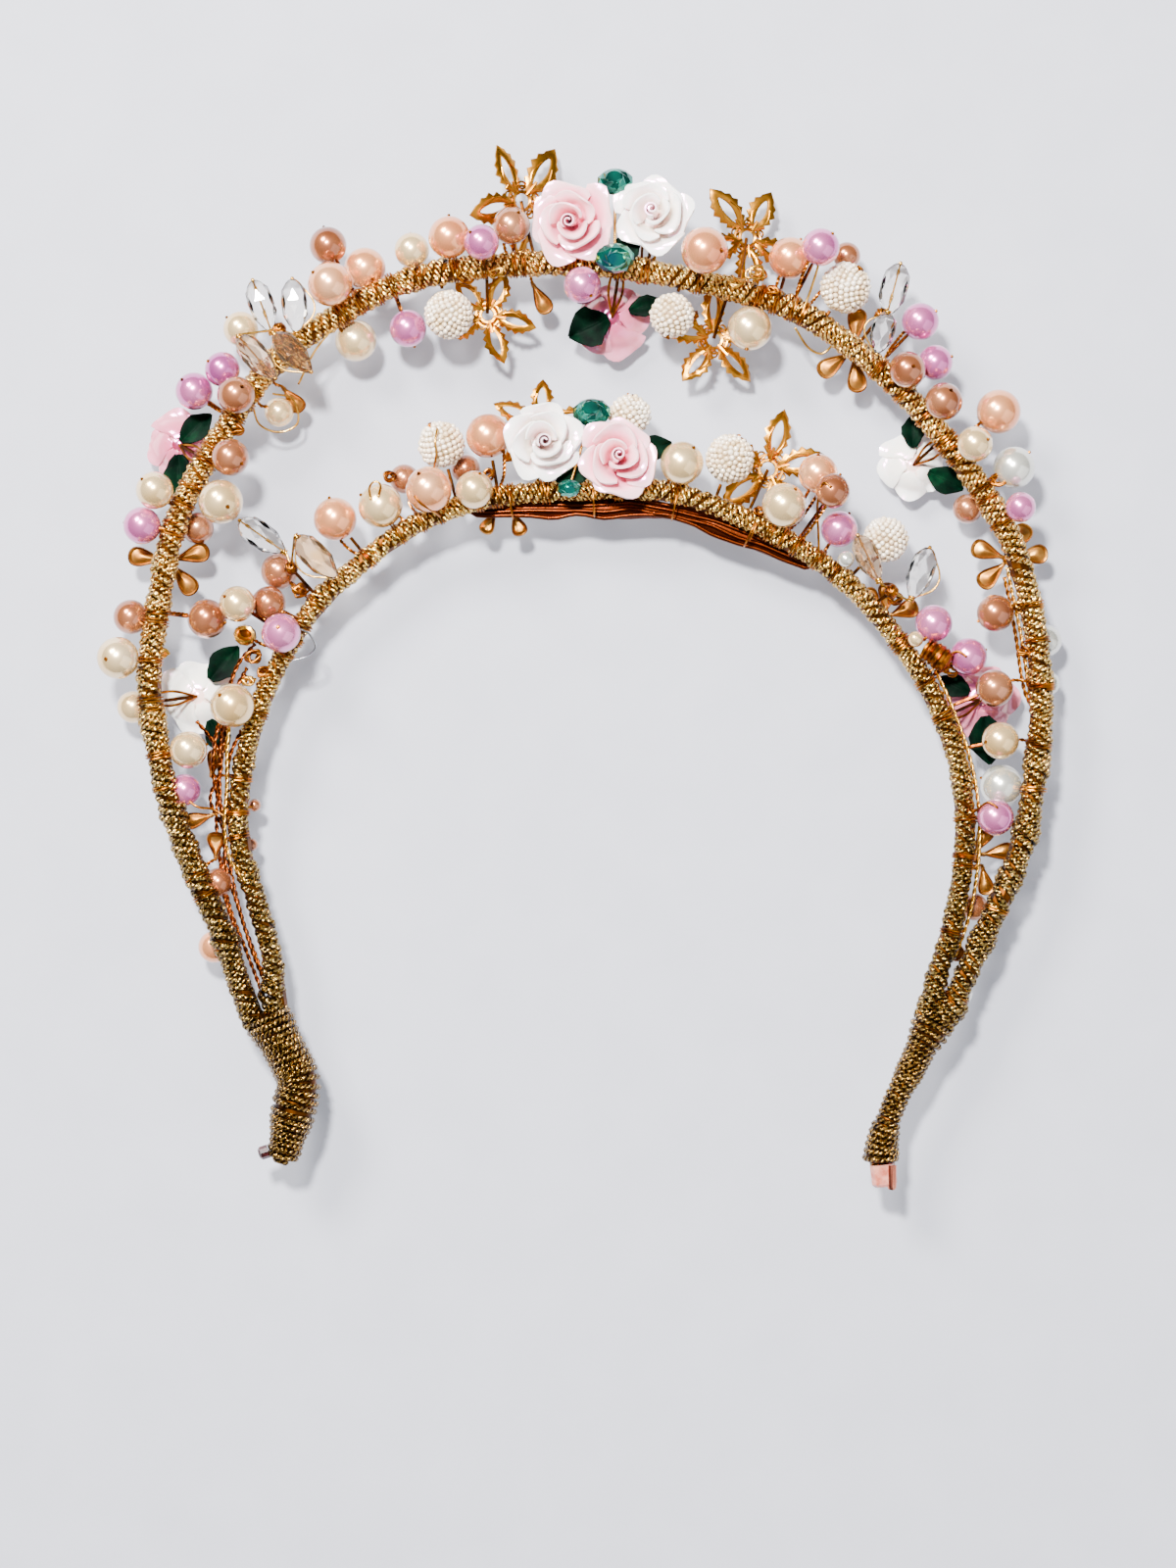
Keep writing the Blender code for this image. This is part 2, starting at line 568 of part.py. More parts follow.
def settle(space, x, y, radius, side, skip=()):
    """Return the bead's middle: level with the bands, or moved along Z until it clears the rest."""
    rises = [k * SETTLE_STEP for k in range(SETTLE_COUNT)]
    if side:
        rises = [side * rise for rise in rises] + [-side * rise for rise in rises]
    else:
        rises = [sign * rise for rise in rises for sign in (1, -1)]
    for rise in rises:
        spot = Vector((x, y, BAND_Z + rise))
        if spot.z - radius > GAP and space.room(spot, skip) >= radius + GAP:
            return spot
    raise ValueError(f"no room for the bead at {x}, {y}")


def route_choices(foot, target, foot_drop):
    """Return the straight route from a foot to its target and, off a vine, two that go round the band."""
    routes = [[foot, target]]
    if not foot_drop:
        return routes
    out = Vector((target.x - foot.x, target.y - foot.y, 0.0))
    way = out.normalized() if out.length > GAP else Vector((1.0, 0.0, 0.0))
    clear = HALO_R + VINE_DROP + STEM_R
    level = min(target.z, BAND_Z + clear)
    for sign in (1, -1):
        low = foot + way * clear * sign
        routes.append([foot, low, Vector((low.x, low.y, level)), target])
    return routes


def route_room(space, route, target, stop, skip):
    """Return the least room along a route, leaving out where it meets its target."""
    if (route[0] - target).length <= stop + 1:
        return 0.0
    steps = [k / ROUTE_SAMPLES for k in range(1, ROUTE_SAMPLES + 1)]
    spots = [a.lerp(b, share) for a, b in zip(route, route[1:]) for share in steps]
    return min(space.room(spot, skip) for spot in spots if (spot - target).length > stop + ROUTE_START)


def clear_route(space, line, foot_drop, target, stop, skip):
    """Return a wire's route from the band's line to a target, past what is already there."""
    nearest = min(range(len(line)), key=lambda i: (line[i].xy - target.xy).length)
    best, best_room = None, -math.inf
    for shift in sorted(range(-ROUTE_REACH, ROUTE_REACH + 1), key=abs):
        foot_at = nearest + shift
        if not 0 <= foot_at < len(line):
            continue
        foot = line[foot_at] - Vector((0.0, 0.0, foot_drop))
        for route in route_choices(foot, target, foot_drop):
            end = route[-1] - (route[-1] - route[-2]).normalized() * stop
            route = route[:-1] + [end]
            room = route_room(space, route, target, stop, skip)
            if room > WIRE_ROOM:
                return route
            if room > best_room:
                best, best_room = route, room
    return best


def end_of_band(section, below, spread):
    """Return where a band meets a wound end, and the direction it meets it in."""
    start = Vector((section[0], section[1], BAND_Z))
    along = (Vector((below[0], below[1], BAND_Z)) - start).normalized()
    across = Vector((-along.y, along.x, 0.0))
    return start - along * GAP + across * spread, along


def band_line(middle, spreads, spacing):
    """Return an arch's middle line from the left wound end to the right one, and its two end directions."""
    left, left_way = end_of_band(LEFT_END[0], LEFT_END[1], spreads[0])
    right, right_way = end_of_band(RIGHT_END[0], RIGHT_END[1], spreads[1])
    points = [left, left - left_way * END_RUN]
    points += [Vector((x, y, BAND_Z)) for x, y in middle]
    points += [right - right_way * END_RUN, right]
    return curve_through(points, spacing), -left_way, right_way


def flat_way(angle):
    """Return the direction in the plane at an angle in degrees."""
    turn = math.radians(angle)
    return Vector((math.cos(turn), math.sin(turn), 0.0))


def crystal_shape(x, y, z, length, width, angle):
    """Return one faceted drop and its two ends."""
    way = flat_way(angle)
    start = Vector((x, y, z)) - way * length / 2
    rings = [(length * share, width / 2 * part) for share, part in CRYSTAL_RINGS]
    return turned(rings, CUT_SIDES, axis_frame(start, way)), start, start + way * length


def place_vines(space, lines):
    """Run a thin vine under each half of each arch: its path, its arch's line and how far it hangs below."""
    vines = {}
    for arch, line, radius in lines:
        drop_by = radius + VINE_DROP
        low = [point - Vector((0.0, 0.0, drop_by)) for point in line]
        crown = max(range(len(low)), key=lambda i: low[i].y)
        vines[arch + "_vine_left"] = (low[VINE_START:crown - 1], line, drop_by)
        vines[arch + "_vine_right"] = (low[crown + 1:-VINE_START], line, drop_by)
    for name, (low, _, _) in vines.items():
        space.add_rod(name, low, VINE_R)
    return vines


def place_ornaments(space):
    """Take up the room of every rose, flower, drop and stone; return where their stems end."""
    targets = []
    disc_r, disc_half, disc_middle = ROSE_DISC
    for name, x, y, diameter, side, _ in ROSES:
        height = diameter * ROSE_HEIGHT
        middle_z = ROSE_BACK_Z + height * disc_middle if side > 0 else height * (1 - disc_middle)
        space.add_plate(name, (x, y, middle_z), diameter * disc_r, height * disc_half)
        foot = rose_foot(x, y, diameter, side)
        space.add_rod(name, [foot, foot], FOOT_R * 2)
        targets.append((name, foot, FOOT_R))
    for name, x, y, z, length, _, lean in FLOWERS:
        space.add_plate(name, (x, y, z), length * FLOWER_DISC, FLOWER_THICKNESS / 2, lean)
        targets.append((name, Vector((x, y, z + FLOWER_SEAT)), 0.0))
    for name, hub in CRYSTAL_HUBS.items():
        space.add_rod(name, [hub, hub], HUB_R)
        targets.append((name, Vector(hub), HUB_R))
    for name, x, y, z, length, width, angle in CRYSTALS:
        shape, start, end = crystal_shape(x, y, z, length, width, angle)
        shape.free()
        ends = [start.lerp(end, CRYSTAL_INSET), start.lerp(end, 1 - CRYSTAL_INSET)]
        space.add_rod(name, ends, width / 2)
    petal_middle, petal_r = DROP_DISC
    for name, x, y, z, angles, length in DROP_FLOWERS:
        hub = Vector((x, y, z))
        space.add_rod(name, [hub, hub], HUB_R)
        for angle in angles:
            middle = hub + flat_way(angle) * length * petal_middle
            space.add_plate(name, middle, DROP_WIDTH * petal_r, DROP_THICKNESS / 2)
        targets.append((name, hub, HUB_R))
    for name, x, y, z, diameter in GREEN_STONES:
        space.add_plate(name, (x, y, z), diameter / 2, diameter * STONE_HALF)
    return targets


def place_beads(space):
    """Settle every pearl and every ball of seed beads; a small pearl carries its vine's name."""
    beads = [(name, x, y, diameter, side, colour, None) for name, x, y, diameter, side, colour in LARGE_PEARLS]
    beads += [(name, x, y, diameter, side, "seed", None) for name, x, y, diameter, side in SEED_BALLS]
    for vine, x, y, diameter, side, colour in SMALL_PEARLS:
        beads.append((f"{vine}_bead_{len(beads)}", x, y, diameter, side, colour, vine))
    placed = []
    for name, x, y, diameter, side, colour, vine in beads:
        spot = settle(space, x, y, diameter / 2, side)
        space.add_rod(name, [spot, spot], diameter / 2)
        placed.append((name, spot, diameter / 2, colour, vine))
    return placed


def vine_parts_of(space, vines, placed):
    """Return each vine's small pearls with the wires they sit on."""
    parts = {name: [] for name in vines}
    for name, spot, radius, _, vine in placed:
        if not vine:
            continue
        _, line, drop_by = vines[vine]
        route = clear_route(space, line, drop_by, spot, 0.0, (name, vine))
        parts[vine] += [small_bead(spot, radius), tube(route, STEM_R, STEM_SIDES)]
        space.add_rod(vine, route, STEM_R)
    return parts


def stems_of(space, lines, vines, targets):
    """Return each band's stems: one to every piece that doesn't already sit on a band or a vine."""
    stems = {arch: [] for arch, _, _ in lines}
    for name, spot, radius in targets:
        near = {arch: min((point - spot).length for point in line) - width for arch, line, width in lines}
        wires = [min((point - spot).length for point in low) - VINE_R for low, _, _ in vines.values()]
        if min(list(near.values()) + wires) - radius < SEATED:
            continue
        arch, line, _ = min(lines, key=lambda row: near[row[0]])
        band = arch + "_band"
        route = clear_route(space, line, 0.0, spot, radius + GAP, (name, band))
        stems[arch].append(tube(route, STEM_R, STEM_SIDES))
        space.add_rod(band, route, STEM_R)
    return stems


def build_band(name, middle, spreads, radius, spacing, stems):
    """Build one arch with the wires that leave it."""
    path, first, last = band_line(middle, spreads, spacing)
    core = bmesh.new()
    add_tube(core, path, [radius] * len(path), BAND_SIDES, first, last)
    add_fused(name, core, stems, "cord")


def build_ends():
    """Build the two wound ends, the sleeve that closes one and the wire's tip on the other."""
    for name, table in (("left_end_binding", LEFT_END), ("right_end_binding", RIGHT_END)):
        path = [Vector((x, y, BAND_Z)) for x, y, _ in table]
        shape = bmesh.new()
        add_tube(shape, path, [r for _, _, r in table], END_SIDES, path[1] - path[0], path[-1] - path[-2])
        add_object(name, shape, "cord")
    x, y, _ = RIGHT_END[-1]
    way = Vector(SLEEVE_WAY).normalized()
    rings = [(0.0, SLEEVE_R), (SLEEVE_LENGTH - SLEEVE_EDGE, SLEEVE_R), (SLEEVE_LENGTH, SLEEVE_R - SLEEVE_EDGE)]
    sleeve = turned(rings, END_SIDES, axis_frame(Vector((x, y, BAND_Z)) + way * GAP, way))
    add_object("right_end_sleeve", sleeve, "sleeve")
    x, y, radius = LEFT_END[-2]
    way = Vector(TIP_WAY).normalized()
    start = Vector((x, y + TIP_RISE, BAND_Z)) + way * (radius + TIP_GAP)
    rings = [(0.0, TIP_R), (TIP_LENGTH - TIP_EDGE, TIP_R), (TIP_LENGTH, TIP_R - TIP_EDGE)]
    add_object("left_end_tip", turned(rings, TIP_SIDES, axis_frame(start, way)), "copper")


def build_vines(vines, parts):
    """Build each vine wire, fused with the small pearls on it."""
    for name, (low, _, _) in vines.items():
        core = bmesh.new()
        path = low[::VINE_EVERY]
        if (len(low) - 1) % VINE_EVERY:
            path.append(low[-1])
        add_tube(core, path, [VINE_R] * len(path), VINE_SIDES)
        add_fused(name, core, parts[name], "wire")


def build_roses():
    """Build the porcelain roses, each with the leaves that stand out from under it."""
    for name, x, y, diameter, side, colour in ROSES:
        foot = rose_foot(x, y, diameter, side)
        level = foot + Vector((0.0, 0.0, side * LEAF_LIFT))
        leaves = []
        for _, leaf_x, leaf_y, length, width in [row for row in LEAVES if row[0] == name]:
            way = Vector((leaf_x - x, leaf_y - y, 0.0))
            reach = way.length + length / 2
            way.normalize()
            root, tip = level + way * LEAF_START, level + way * reach
            leaves.append(drop(root, tip, width, LEAF_THICKNESS, LEAF_RINGS, LEAF_SIDES))
        shape = rose_shape(x, y, diameter, side)
        if leaves:
            add_fused(name, shape, leaves, colour)
        else:
            add_object(name, shape, colour)


def build_crystals():
    """Build each group of faceted drops on the knot where their wires meet."""
    for group, spot in CRYSTAL_HUBS.items():
        hub = Vector(spot)
        parts = []
        for _, *row in [row for row in CRYSTALS if row[0] == group]:
            shape, start, end = crystal_shape(*row)
            near, far = sorted((start, end), key=lambda p: (p - hub).length)
            parts += [shape, tube([hub, near.lerp(far, CRYSTAL_INSET)], STEM_R, STEM_SIDES)]
        add_fused(group, knot(hub, HUB_R), parts, "glass")


def build_drop_flowers():
    """Build the flowers whose petals are plain drops on a knot."""
    for name, x, y, z, angles, length in DROP_FLOWERS:
        hub = Vector((x, y, z))
        petals = []
        for angle in angles:
            way = flat_way(angle)
            root, tip = hub + way * DROP_START, hub + way * length
            petals.append(drop(root, tip, DROP_WIDTH, DROP_THICKNESS, DROP_RINGS, DROP_SIDES))
        add_fused(name, knot(hub, HUB_R), petals, "brass")


def build_green_stones():
    """Build the green stones, two on each wire."""
    for group in sorted({row[0] for row in GREEN_STONES}):
        rows = [row[1:] for row in GREEN_STONES if row[0] == group]
        stones = []
        for x, y, z, diameter in rows:
            rings = [(diameter * rise, diameter / 2 * share) for rise, share in STONE_RINGS]
            stones.append(turned(rings, CUT_SIDES, Matrix.Translation((x, y, z))))
        wire = tube([Vector(row[:3]) for row in rows], STEM_R, STEM_SIDES)
        add_fused(group, stones[0], stones[1:] + [wire], "green")


def build_all():
    """Place every piece, then make the meshes."""
    halo, _, _ = band_line(HALO_LINE, HALO_SPREAD, LINE_STEP)
    inner, _, _ = band_line(INNER_LINE, INNER_SPREAD, LINE_STEP)
    lines = [("halo", halo, HALO_R), ("inner", inner, INNER_R)]
    space = Space()
    for arch, line, radius in lines:
        space.add_rod(arch + "_band", line, radius)
    vines = place_vines(space, lines)
    targets = place_ornaments(space)
    placed = place_beads(space)
    targets += [(name, spot, radius) for name, spot, radius, _, vine in placed if not vine]
    parts = vine_parts_of(space, vines, placed)
    stems = stems_of(space, lines, vines, targets)

    build_band("halo_band", HALO_LINE, HALO_SPREAD, HALO_R, HALO_STEP, stems["halo"])
    build_band("inner_band", INNER_LINE, INNER_SPREAD, INNER_R, INNER_STEP, stems["inner"])
    build_ends()
    build_vines(vines, parts)
    for name, spot, radius, colour, vine in placed:
        if not vine:
            add_object(name, ball(spot, radius), colour)
    build_roses()
    for name, x, y, z, length, turn, lean in FLOWERS:
        add_object(name, flower_shape(x, y, z, length, turn, lean), "brass")
    build_crystals()
    build_drop_flowers()
    build_green_stones()


for old in list(bpy.data.objects):
    bpy.data.objects.remove(old, do_unlink=True)
build_all()
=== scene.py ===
"""Looks of the pearl headband: wound metallic cord, pearls, porcelain roses, filigree, crystals and wires.

The tables are in millimetres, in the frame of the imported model: X across the head, Y from the two ends to
the crown, Z out of the back. Every shape is gathered in millimetres and becomes metres in make_piece().
"""
import math

import bpy
import numpy as np
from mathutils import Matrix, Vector


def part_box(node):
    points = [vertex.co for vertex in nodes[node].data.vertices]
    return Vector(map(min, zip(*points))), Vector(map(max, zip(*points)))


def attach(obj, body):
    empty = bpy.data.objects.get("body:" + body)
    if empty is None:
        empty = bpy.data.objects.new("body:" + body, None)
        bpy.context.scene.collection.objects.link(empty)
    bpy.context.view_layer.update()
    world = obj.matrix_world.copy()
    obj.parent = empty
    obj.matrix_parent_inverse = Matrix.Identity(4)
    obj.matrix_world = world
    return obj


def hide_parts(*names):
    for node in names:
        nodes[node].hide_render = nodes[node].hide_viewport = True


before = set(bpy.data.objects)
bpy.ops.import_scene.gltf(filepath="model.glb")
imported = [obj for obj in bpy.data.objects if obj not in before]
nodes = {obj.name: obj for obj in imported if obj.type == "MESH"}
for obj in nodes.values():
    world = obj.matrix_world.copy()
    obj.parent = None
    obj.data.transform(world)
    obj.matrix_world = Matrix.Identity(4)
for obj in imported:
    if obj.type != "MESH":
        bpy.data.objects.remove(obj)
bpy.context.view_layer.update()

MM = 0.001
TAU = math.tau
UP = np.array((0.0, 0.0, 1.0))
SIDEWAYS = np.array((1.0, 0.0, 0.0))
TINY = 1e-12

# The level of both arches' middle lines, the gap before a wound end, and the radius of each arch.
BAND_Z = 15.0
GAP = 0.3
HALO_R = 2.3
INNER_R = 1.95


# Each arch's middle line, from the left end to the right one: x, y.
HALO_LINE = [
    (-77.2, -56.4), (-82.6, -44.4), (-87.3, -31.8), (-90.0, -21.0), (-92.5, -4.5), (-91.2, 8.0),
    (-87.3, 29.0), (-79.7, 44.8), (-66.7, 63.7), (-54.0, 73.6), (-40.2, 81.2), (-23.6, 85.2),
    (1.6, 85.8), (22.6, 82.8), (44.0, 77.0), (57.0, 69.0), (67.0, 60.6), (77.4, 49.2), (88.0, 34.3),
    (94.2, 21.7), (98.0, 3.5), (98.6, -13.0), (95.2, -36.6), (89.6, -51.0), (83.0, -65.6),
]
INNER_LINE = [
    (-66.0, -63.0), (-69.6, -50.0), (-73.2, -37.0), (-72.3, -22.0), (-67.5, -5.6), (-58.0, 11.4),
    (-49.7, 19.5), (-36.2, 29.7), (-19.4, 35.8), (1.6, 37.5), (19.6, 37.0), (37.0, 30.6),
    (50.7, 22.6), (60.8, 14.0), (73.0, -2.0), (80.3, -18.8), (82.4, -37.0), (79.7, -56.0),
    (76.3, -66.7),
]
# The thick wound ends: x, y, radius.
LEFT_END = [
    (-66.6, -76.4, 5.2), (-64.3, -80.8, 4.4), (-61.9, -85.4, 4.4), (-60.3, -89.5, 4.3),
    (-61.2, -94.0, 4.6), (-62.3, -99.0, 4.2), (-63.3, -103.5, 3.3), (-63.7, -106.3, 2.6),
]
RIGHT_END = [
    (75.6, -76.6, 4.3), (73.0, -82.0, 3.2), (70.6, -87.0, 2.8), (68.0, -92.2, 2.2),
    (66.1, -97.0, 2.2), (64.9, -101.0, 2.8), (64.4, -104.6, 3.6), (64.6, -106.6, 3.8),
]
# How far each arch's left and right end lies from the middle of the wound end.
HALO_SPREAD = (-2.9, 2.2)
INNER_SPREAD = (2.75, -2.3)
END_RUN = 4.0

# Porcelain roses: name, x, y, diameter, side (1 opens to the back, -1 to the front), colour, turn, lean.
ROSES = [
    ("rose_halo_pink", -1.4, 94.6, 17.5, 1, "pink", 20.0, (6.0, -8.0)),
    ("rose_halo_white", 15.6, 95.2, 16.5, 1, "white", 65.0, (-8.0, -4.0)),
    ("rose_inner_white", -8.4, 47.8, 17.0, 1, "white", 10.0, (4.0, 6.0)),
    ("rose_inner_pink", 7.6, 43.8, 16.5, 1, "pink", 50.0, (-4.0, 4.0)),
    # The pink roses that face the front take the pink porcelain with painted shade.
    ("rose_front_crown_pink", 6.8, 75.2, 16.0, -1, "pink_painted_shade", 0.0, (0.0, 0.0)),
    ("rose_front_left_pink", -86.8, 47.8, 14.5, -1, "pink_painted_shade", 30.0, (0.0, 0.0)),
    ("rose_front_left_white", -82.8, -6.6, 16.0, -1, "white", 12.0, (0.0, 0.0)),
    ("rose_front_right_white", 71.9, 43.4, 14.5, -1, "white", 40.0, (0.0, 0.0)),
    ("rose_front_right_pink", 86.8, -7.2, 15.0, -1, "pink_painted_shade", 70.0, (0.0, 0.0)),
]
ROSE_HEIGHT = 0.54
ROSE_BACK_Z = 17.6

# Leaves of each rose: middle x, middle y, length, width.
LEAVES = {
    "rose_front_crown_pink": [
        (2.4, 73.2, 10.6, 8.6), (14.0, 77.6, 7.5, 4.5),
    ],
    "rose_front_left_pink": [
        (-83.2, 51.2, 9.2, 5.6), (-86.6, 40.4, 10.6, 6.8),
    ],
    "rose_front_left_white": [
        (-76.9, 0.5, 9.4, 6.4), (-78.2, -15.2, 8.0, 5.4),
    ],
    "rose_front_right_white": [
        (71.7, 50.6, 7.0, 5.0), (78.8, 40.0, 8.4, 6.0),
    ],
    "rose_front_right_pink": [
        (80.6, -4.2, 7.4, 4.8), (87.8, -16.0, 10.4, 8.0),
    ],
    "rose_halo_white": [
        (9.6, 88.6, 9.0, 5.5),
    ],
    "rose_inner_pink": [
        (-1.2, 40.6, 8.5, 4.5), (15.6, 46.2, 8.0, 5.4),
    ],
}

# Pierced flowers: name, x, y, z, petal length, turn in degrees, lean in degrees about Y.
FLOWERS = [
    ("flower_halo_left", -12.9, 100.2, 9.4, 14.0, 54.0, 30.0),
    ("flower_halo_inside_left", -20.0, 75.6, 9.4, 11.0, -9.0, 0.0),
    ("flower_halo_right", 35.8, 92.4, 8.4, 13.0, 54.0, 25.0),
    ("flower_halo_inside_right", 28.7, 70.4, 8.0, 12.6, 18.0, 10.0),
    ("flower_inner_right", 40.4, 42.4, 9.0, 13.4, 7.0, 0.0),
    ("flower_inner_left", -8.4, 51.8, 10.4, 11.0, 13.0, 0.0),
]

SEED_BALLS = [
    "seed_ball_halo_left", "seed_ball_halo_crown", "seed_ball_halo_right", "seed_ball_inner_left",
    "seed_ball_inner_crown", "seed_ball_inner_middle", "seed_ball_inner_right",
]

# Faceted drops of each group: x, y, z of the middle, length, width, angle in degrees, glass.
CRYSTALS = {
    "crystals_halo_left": [
        (-67.9, 76.4, 18.6, 11.5, 6.0, 110.0, "clear"), (-61.0, 76.4, 18.6, 11.5, 6.0, 95.0, "clear"),
        (-68.8, 65.2, 21.6, 11.5, 6.0, 131.0, "champagne"),
        (-61.2, 66.2, 21.6, 11.0, 6.0, 134.0, "champagne"),
    ],
    "crystals_halo_right": [
        (66.8, 79.9, 18.0, 11.5, 6.4, 75.0, "clear"), (64.2, 70.4, 21.4, 9.0, 5.6, 75.0, "clear"),
    ],
    "crystals_inner_left": [
        (-68.0, 27.4, 17.0, 11.5, 6.2, 145.0, "clear"),
        (-56.2, 22.8, 20.4, 12.0, 6.2, 135.0, "champagne"),
    ],
    "crystals_inner_right": [
        (61.4, 22.6, 19.2, 10.5, 5.6, 115.0, "champagne"), (72.6, 19.4, 17.6, 11.5, 6.0, 70.0, "clear"),
    ],
}
# Where the wires of each group meet: x, y, z.
CRYSTAL_HUBS = {
    "crystals_halo_left": (-64.2, 71.4, 19.6),
    "crystals_halo_right": (64.2, 74.6, 18.6),
    "crystals_inner_left": (-61.8, 20.6, 17.6),
    "crystals_inner_right": (66.4, 15.6, 18.4),
}

# Flowers of plain drop petals: name, then the middle x, y, z, then the petals' angles, and their length.
DROP_FLOWERS = [
    ("drop_flower_left", -88.7, 22.6, 9.6, (172.0, 15.0, -52.0), 9.0),
    ("drop_flower_right", 92.3, 22.9, 9.9, (160.0, 222.0, 10.0, 62.0), 8.6),
    ("drop_flower_halo_right", 58.9, 68.0, 9.6, (214.0, 276.0, 84.0), 9.2),
    ("drop_flower_inner_right", 65.6, 10.4, 10.2, (84.0, 128.0, 20.0), 7.6),
]
DROP_WIDTH = 5.2
PETAL_THICKNESS = 1.08

# Green stones of each group: x, y, z, diameter.
GREEN_STONES = {
    "green_stones_halo": [
        (7.4, 103.0, 18.6, 7.0), (7.3, 86.2, 22.4, 7.6),
    ],
    "green_stones_inner": [
        (2.4, 53.8, 18.0, 7.4), (-2.4, 37.4, 21.0, 4.6),
    ],
}

# Large pearls: node, colour.
LARGE_PEARLS = [
    ("pearl_left_low", "cream"), ("pearl_left_outer", "cream"), ("pearl_left_high", "cream"),
    ("pearl_halo_peach_left", "peach"), ("pearl_halo_under_left", "cream"),
    ("pearl_halo_peach_top_left", "peach"), ("pearl_halo_peach_top_right", "peach"),
    ("pearl_halo_under_right", "cream"), ("pearl_right_peach", "peach"), ("pearl_right_ivory", "ivory"),
    ("pearl_inner_peach_left", "peach"), ("pearl_inner_cream_left", "cream"),
    ("pearl_inner_peach_middle", "peach"), ("pearl_inner_peach_high", "peach"),
    ("pearl_inner_cream_crown", "cream"), ("pearl_inner_cream_right", "cream"),
    ("pearl_right_low_ivory", "ivory"),
]

# Small pearls on each vine's wires: x, y, diameter, colour.
SMALL_PEARLS = {
    "halo_vine_left": [
        (-83.9, -18.2, 8.0, "cream"), (-96.7, 10.4, 7.5, "bronze"), (-80.0, 9.9, 8.5, "bronze"),
        (-93.8, 29.8, 8.0, "mauve"), (-90.8, 37.1, 8.0, "cream"), (-74.6, 44.1, 8.0, "bronze"),
        (-82.8, 58.7, 8.0, "mauve"), (-76.5, 63.1, 7.5, "mauve"), (-73.2, 57.2, 8.0, "bronze"),
        (-72.8, 72.0, 7.5, "cream"), (-54.1, 89.9, 8.0, "bronze"), (-46.4, 85.4, 9.0, "peach"),
        (-37.1, 72.4, 8.0, "mauve"), (-36.2, 89.1, 7.5, "cream"), (-21.0, 89.4, 7.5, "mauve"),
        (-14.8, 94.0, 8.0, "bronze"),
    ],
    "halo_vine_right": [
        (0.4, 80.8, 8.0, "mauve"), (44.9, 87.2, 9.0, "peach"), (51.1, 88.7, 8.0, "mauve"),
        (72.8, 73.6, 8.0, "mauve"), (76.0, 64.8, 7.5, "mauve"), (69.6, 62.7, 7.8, "bronze"),
        (77.4, 56.0, 8.0, "bronze"), (84.0, 46.9, 7.6, "cream"), (88.9, 11.1, 8.0, "bronze"),
    ],
    "inner_vine_left": [
        (-73.2, 12.9, 7.7, "cream"), (-63.7, 6.6, 8.4, "mauve"), (-66.9, 13.2, 7.5, "bronze"),
        (-64.9, 20.3, 8.0, "bronze"), (-22.6, 37.1, 8.0, "cream"),
    ],
    "inner_vine_right": [
        (50.9, 41.0, 8.5, "peach"), (53.6, 36.8, 7.4, "bronze"), (55.4, 29.1, 7.8, "mauve"),
        (75.7, 8.9, 8.0, "mauve"), (83.1, 1.8, 8.0, "mauve"), (88.7, -5.0, 8.0, "bronze"),
        (90.0, -16.2, 8.0, "cream"), (88.7, -32.6, 7.8, "mauve"),
    ],
}
# The heights that are tried for a small pearl, how far round it the vine's points are looked at, and how near
# to its sphere a point has to lie.
SETTLE_STEP = 0.25
SETTLE_COUNT = 60
SETTLE_REACH = 0.2
SETTLE_NEAR = 0.03

# The smallest pearls, which only the looks have: x, y, z, diameter, colour.
SPARE_PEARLS = [
    (-77.8, -46.7, 12.0, 6.5, "bronze"), (-85.0, -26.8, 13.0, 7.0, "mauve"),
    (-96.5, -8.9, 9.5, 7.0, "cream"), (-82.6, 29.7, 9.0, 7.0, "bronze"), (-65.0, 54.7, 9.5, 6.5, "cream"),
    (57.4, 88.4, 9.5, 6.0, "bronze"),
    (93.8, 33.5, 19.5, 6.5, "mauve"), (83.5, 33.9, 9.0, 6.5, "bronze"), (100.4, 5.4, 9.0, 7.0, "ivory"),
    (100.7, -3.8, 9.0, 5.5, "ivory"), (-38.1, 40.4, 8.0, 6.5, "bronze"), (-24.9, 42.6, 7.5, 6.5, "bronze"),
    (84.9, -52.0, 9.5, 6.0, "bronze"), (82.0, -70.7, 10.5, 5.0, "ivory"), (-70.3, -30.1, 9.4, 2.8, "bronze"),
    (-71.0, -38.6, 9.4, 2.8, "bronze"), (-79.0, -60.6, 9.5, 7.0, "peach"), (71.5, 5.4, 18.6, 3.4, "cream"),
    (56.6, 22.4, 19.4, 3.6, "ivory"),
]

# The smallest metal drops: middle x, y, z, length, width, angle in degrees, whether the middle is sunk.
SPARE_DROPS = [
    (-82.0, -33.0, 12.4, 6.8, 4.4, 196.0, False), (-78.4, -38.7, 12.6, 6.0, 4.8, 90.0, True),
    (-62.2, 57.6, 9.0, 7.0, 4.4, -50.0, False), (-8.7, 79.3, 9.4, 7.6, 4.6, -62.0, False),
    (89.8, -40.2, 11.0, 7.6, 4.6, 8.0, False), (87.0, -46.2, 11.0, 6.6, 4.4, -80.0, False),
    (-19.6, 30.8, 10.4, 5.4, 4.0, -120.0, True), (-13.6, 30.6, 10.4, 5.6, 4.2, -70.0, True),
    (-79.0, -21.0, 10.6, 6.0, 4.4, 78.0, False), (86.4, -37.4, 12.0, 7.0, 4.6, 62.0, False),
    (80.7, -60.6, 9.6, 6.5, 4.2, -70.0, False),
]
SPARE_DROP_THICKNESS = 1.1

